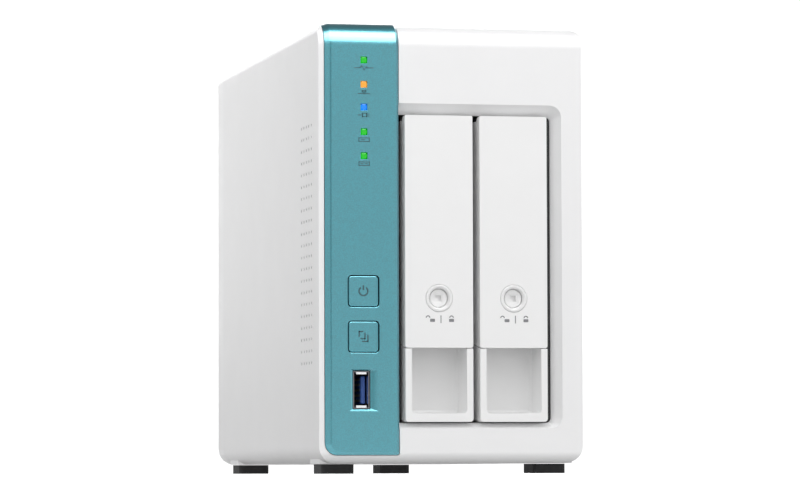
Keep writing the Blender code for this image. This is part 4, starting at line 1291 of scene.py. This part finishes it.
def drive_labels():
    """A blank label and a round bright seal on the right face of each hard drive."""
    for number in (1, 2):
        low, high = span(f"hard_drive_{number}")
        front, rear, edge = LABEL_MARGINS
        corners = (LABEL_CORNER,) * 4
        outline = rounded(low.y + front, high.y - rear, low.z + edge, high.z - edge, corners)
        label = prism("X", high.x - 0.1, high.x + 0.1, outline)
        finish(label, f"drive_label_{number}", LABEL, f"tray_{number}", "white_plastic")
        disc = circle(high.y - SEAL_MARGIN, high.z - SEAL_MARGIN, SEAL_RADIUS)
        seal = prism("X", high.x - 0.1, high.x + 0.12, disc)
        finish(seal, f"drive_seal_{number}", BRIGHT, f"tray_{number}", "sheet_steel")


# --- Stage ---


FLOOR_REACH = 0.9
ROOM_LEVEL = 0.235
ROOM_AHEAD = 0.89
ROOM_BELOW = 0.25
ROOM_HIGH_LOSS = 0.45
DARK_STRIP_X = -0.17
DARK_STRIP_HALF = 0.28
BACKDROP = 1.15
YAW = 12.4034
PITCH = 3.0752
ROLL = -0.176
LENS = 185.06
SENSOR = 36.0
CAMERA_PLACE = (-0.35175, -1.61833, 0.001)


def floor():
    """A pale floor that ends before the rear light, so that it stays evenly lit."""
    corners = [(-1, -1), (1, -1), (1, 1), (-1, 1)]
    mesh = bpy.data.meshes.new("floor")
    verts = [(x * FLOOR_REACH, y * FLOOR_REACH, 0) for x, y in corners]
    mesh.from_pydata(verts, [], [(0, 1, 2, 3)])
    obj = bpy.data.objects.new("floor", mesh)
    bpy.context.scene.collection.objects.link(obj)
    surface = Surface("floor", (0.92, 0.92, 0.92), 0.9)
    surface.vary_colour(surface.noise(300, 2), 0.995, 1.0)
    surface.set("Specular IOR Level", 0.0)
    surface.set("Emission Color", (1.0, 1.0, 1.0, 1.0))
    surface.set("Emission Strength", 0.5)
    obj.data.materials.append(surface.material)
    obj.visible_diffuse = False


SOFTBOXES = (
    ("above_front", (0.0, -0.62, 1.1), (1.1, 0.5), 5.2),
    ("left_front", (-1.05, -1.05, 0.75), (0.8, 1.0), 2.2),
    ("right_front", (1.35, -0.95, 0.3), (1.2, 1.0), 2.6),
    ("left_side", (-0.45, 0.1, 0.36), (0.3, 0.5), 0.95),
    ("right_side", (0.45, 0.1, 0.36), (0.3, 0.5), 0.85),
    ("rear", (0.15, 0.95, 0.35), (0.9, 0.6), 5.0),
)
ROLL_HIGHLIGHT = ("roll_highlight", (0.0, -0.74, 1.0), (1.2, 1.0), 27.0)


def softbox(name, location, target, size, power):
    data = bpy.data.lights.new(name, "AREA")
    data.shape = "RECTANGLE"
    data.size, data.size_y = size
    data.energy = power
    obj = bpy.data.objects.new(name, data)
    bpy.context.scene.collection.objects.link(obj)
    obj.location = location
    obj.rotation_euler = (Vector(target) - Vector(location)).to_track_quat("-Z", "Y").to_euler()
    obj.visible_camera = False
    return obj


def studio():
    """A white room, brightest low in front and dim below, with a dark strip beside the camera."""
    world = bpy.data.worlds.new("studio")
    bpy.context.scene.world = world
    world.use_nodes = True
    tree = world.node_tree
    tree.nodes.clear()
    place = tree.nodes.new("ShaderNodeTexCoord")
    split = tree.nodes.new("ShaderNodeSeparateXYZ")
    tree.links.new(place.outputs["Generated"], split.inputs["Vector"])
    room = tree.nodes.new("ShaderNodeBackground")

    def calculate(operation, first, second):
        made = tree.nodes.new("ShaderNodeMath")
        made.operation = operation
        for value, socket in zip((first, second), made.inputs):
            if isinstance(value, float):
                socket.default_value = value
            else:
                tree.links.new(value, socket)
        return made.outputs["Value"]

    x, y, z = (split.outputs[axis] for axis in "XYZ")
    ahead = calculate("MAXIMUM", calculate("MULTIPLY", y, -ROOM_AHEAD), 0.0)
    off_strip = calculate("ABSOLUTE", calculate("SUBTRACT", x, DARK_STRIP_X), 0.0)
    strip = calculate("MINIMUM", calculate("DIVIDE", off_strip, DARK_STRIP_HALF), 1.0)
    low_down = calculate("SUBTRACT", 1.0, calculate("MULTIPLY", z, ROOM_HIGH_LOSS))
    front = calculate("MULTIPLY", calculate("MULTIPLY", ahead, strip), low_down)
    below = calculate("MINIMUM", calculate("MULTIPLY", z, ROOM_BELOW), 0.0)
    total = calculate("ADD", front, calculate("ADD", below, ROOM_LEVEL))
    tree.links.new(total, room.inputs["Strength"])
    backdrop = tree.nodes.new("ShaderNodeBackground")
    for light in (room, backdrop):
        light.inputs["Color"].default_value = (1.0, 1.0, 1.0, 1.0)
    backdrop.inputs["Strength"].default_value = BACKDROP
    seen = tree.nodes.new("ShaderNodeLightPath")
    mix = tree.nodes.new("ShaderNodeMixShader")
    tree.links.new(seen.outputs["Is Camera Ray"], mix.inputs["Fac"])
    tree.links.new(room.outputs["Background"], mix.inputs[1])
    tree.links.new(backdrop.outputs["Background"], mix.inputs[2])
    out = tree.nodes.new("ShaderNodeOutputWorld")
    tree.links.new(mix.outputs["Shader"], out.inputs["Surface"])
    aim = (0, 0, HEIGHT * MM / 2)
    for name, location, size, power in SOFTBOXES:
        softbox(name, location, aim, size, power)
    name, location, size, power = ROLL_HIGHLIGHT
    softbox(name, location, aim, size, power).visible_diffuse = False
    scene = bpy.context.scene
    scene.view_settings.view_transform = "Standard"
    scene.view_settings.look = "None"


def camera():
    """The photograph's viewpoint: low, from the left, with a long lens."""
    yaw = math.radians(YAW)
    pitch = math.radians(PITCH)
    roll = math.radians(ROLL)
    flat = math.cos(pitch)
    forward = Vector((math.sin(yaw) * flat, math.cos(yaw) * flat, math.sin(pitch)))
    level = Vector((math.cos(yaw), -math.sin(yaw), 0))
    upright = level.cross(forward)
    right = math.cos(roll) * level + math.sin(roll) * upright
    up = -math.sin(roll) * level + math.cos(roll) * upright
    data = bpy.data.cameras.new("camera")
    data.sensor_width = SENSOR
    data.lens = LENS
    data.clip_end = 20.0
    obj = bpy.data.objects.new("camera", data)
    bpy.context.scene.collection.objects.link(obj)
    axes = Matrix((right, up, -forward)).transposed().to_4x4()
    obj.matrix_world = Matrix.Translation(CAMERA_PLACE) @ axes
    bpy.context.scene.camera = obj


def main():
    body = housing()
    front_bezel(body)
    outer_cover(body)
    bpy.data.objects.remove(body)
    accent_panel()
    feet()
    light_pipes()
    push_buttons()
    status_marks()
    front_usb()
    trays()
    kept_nodes()
    drive_labels()
    floor()
    studio()
    camera()


main()
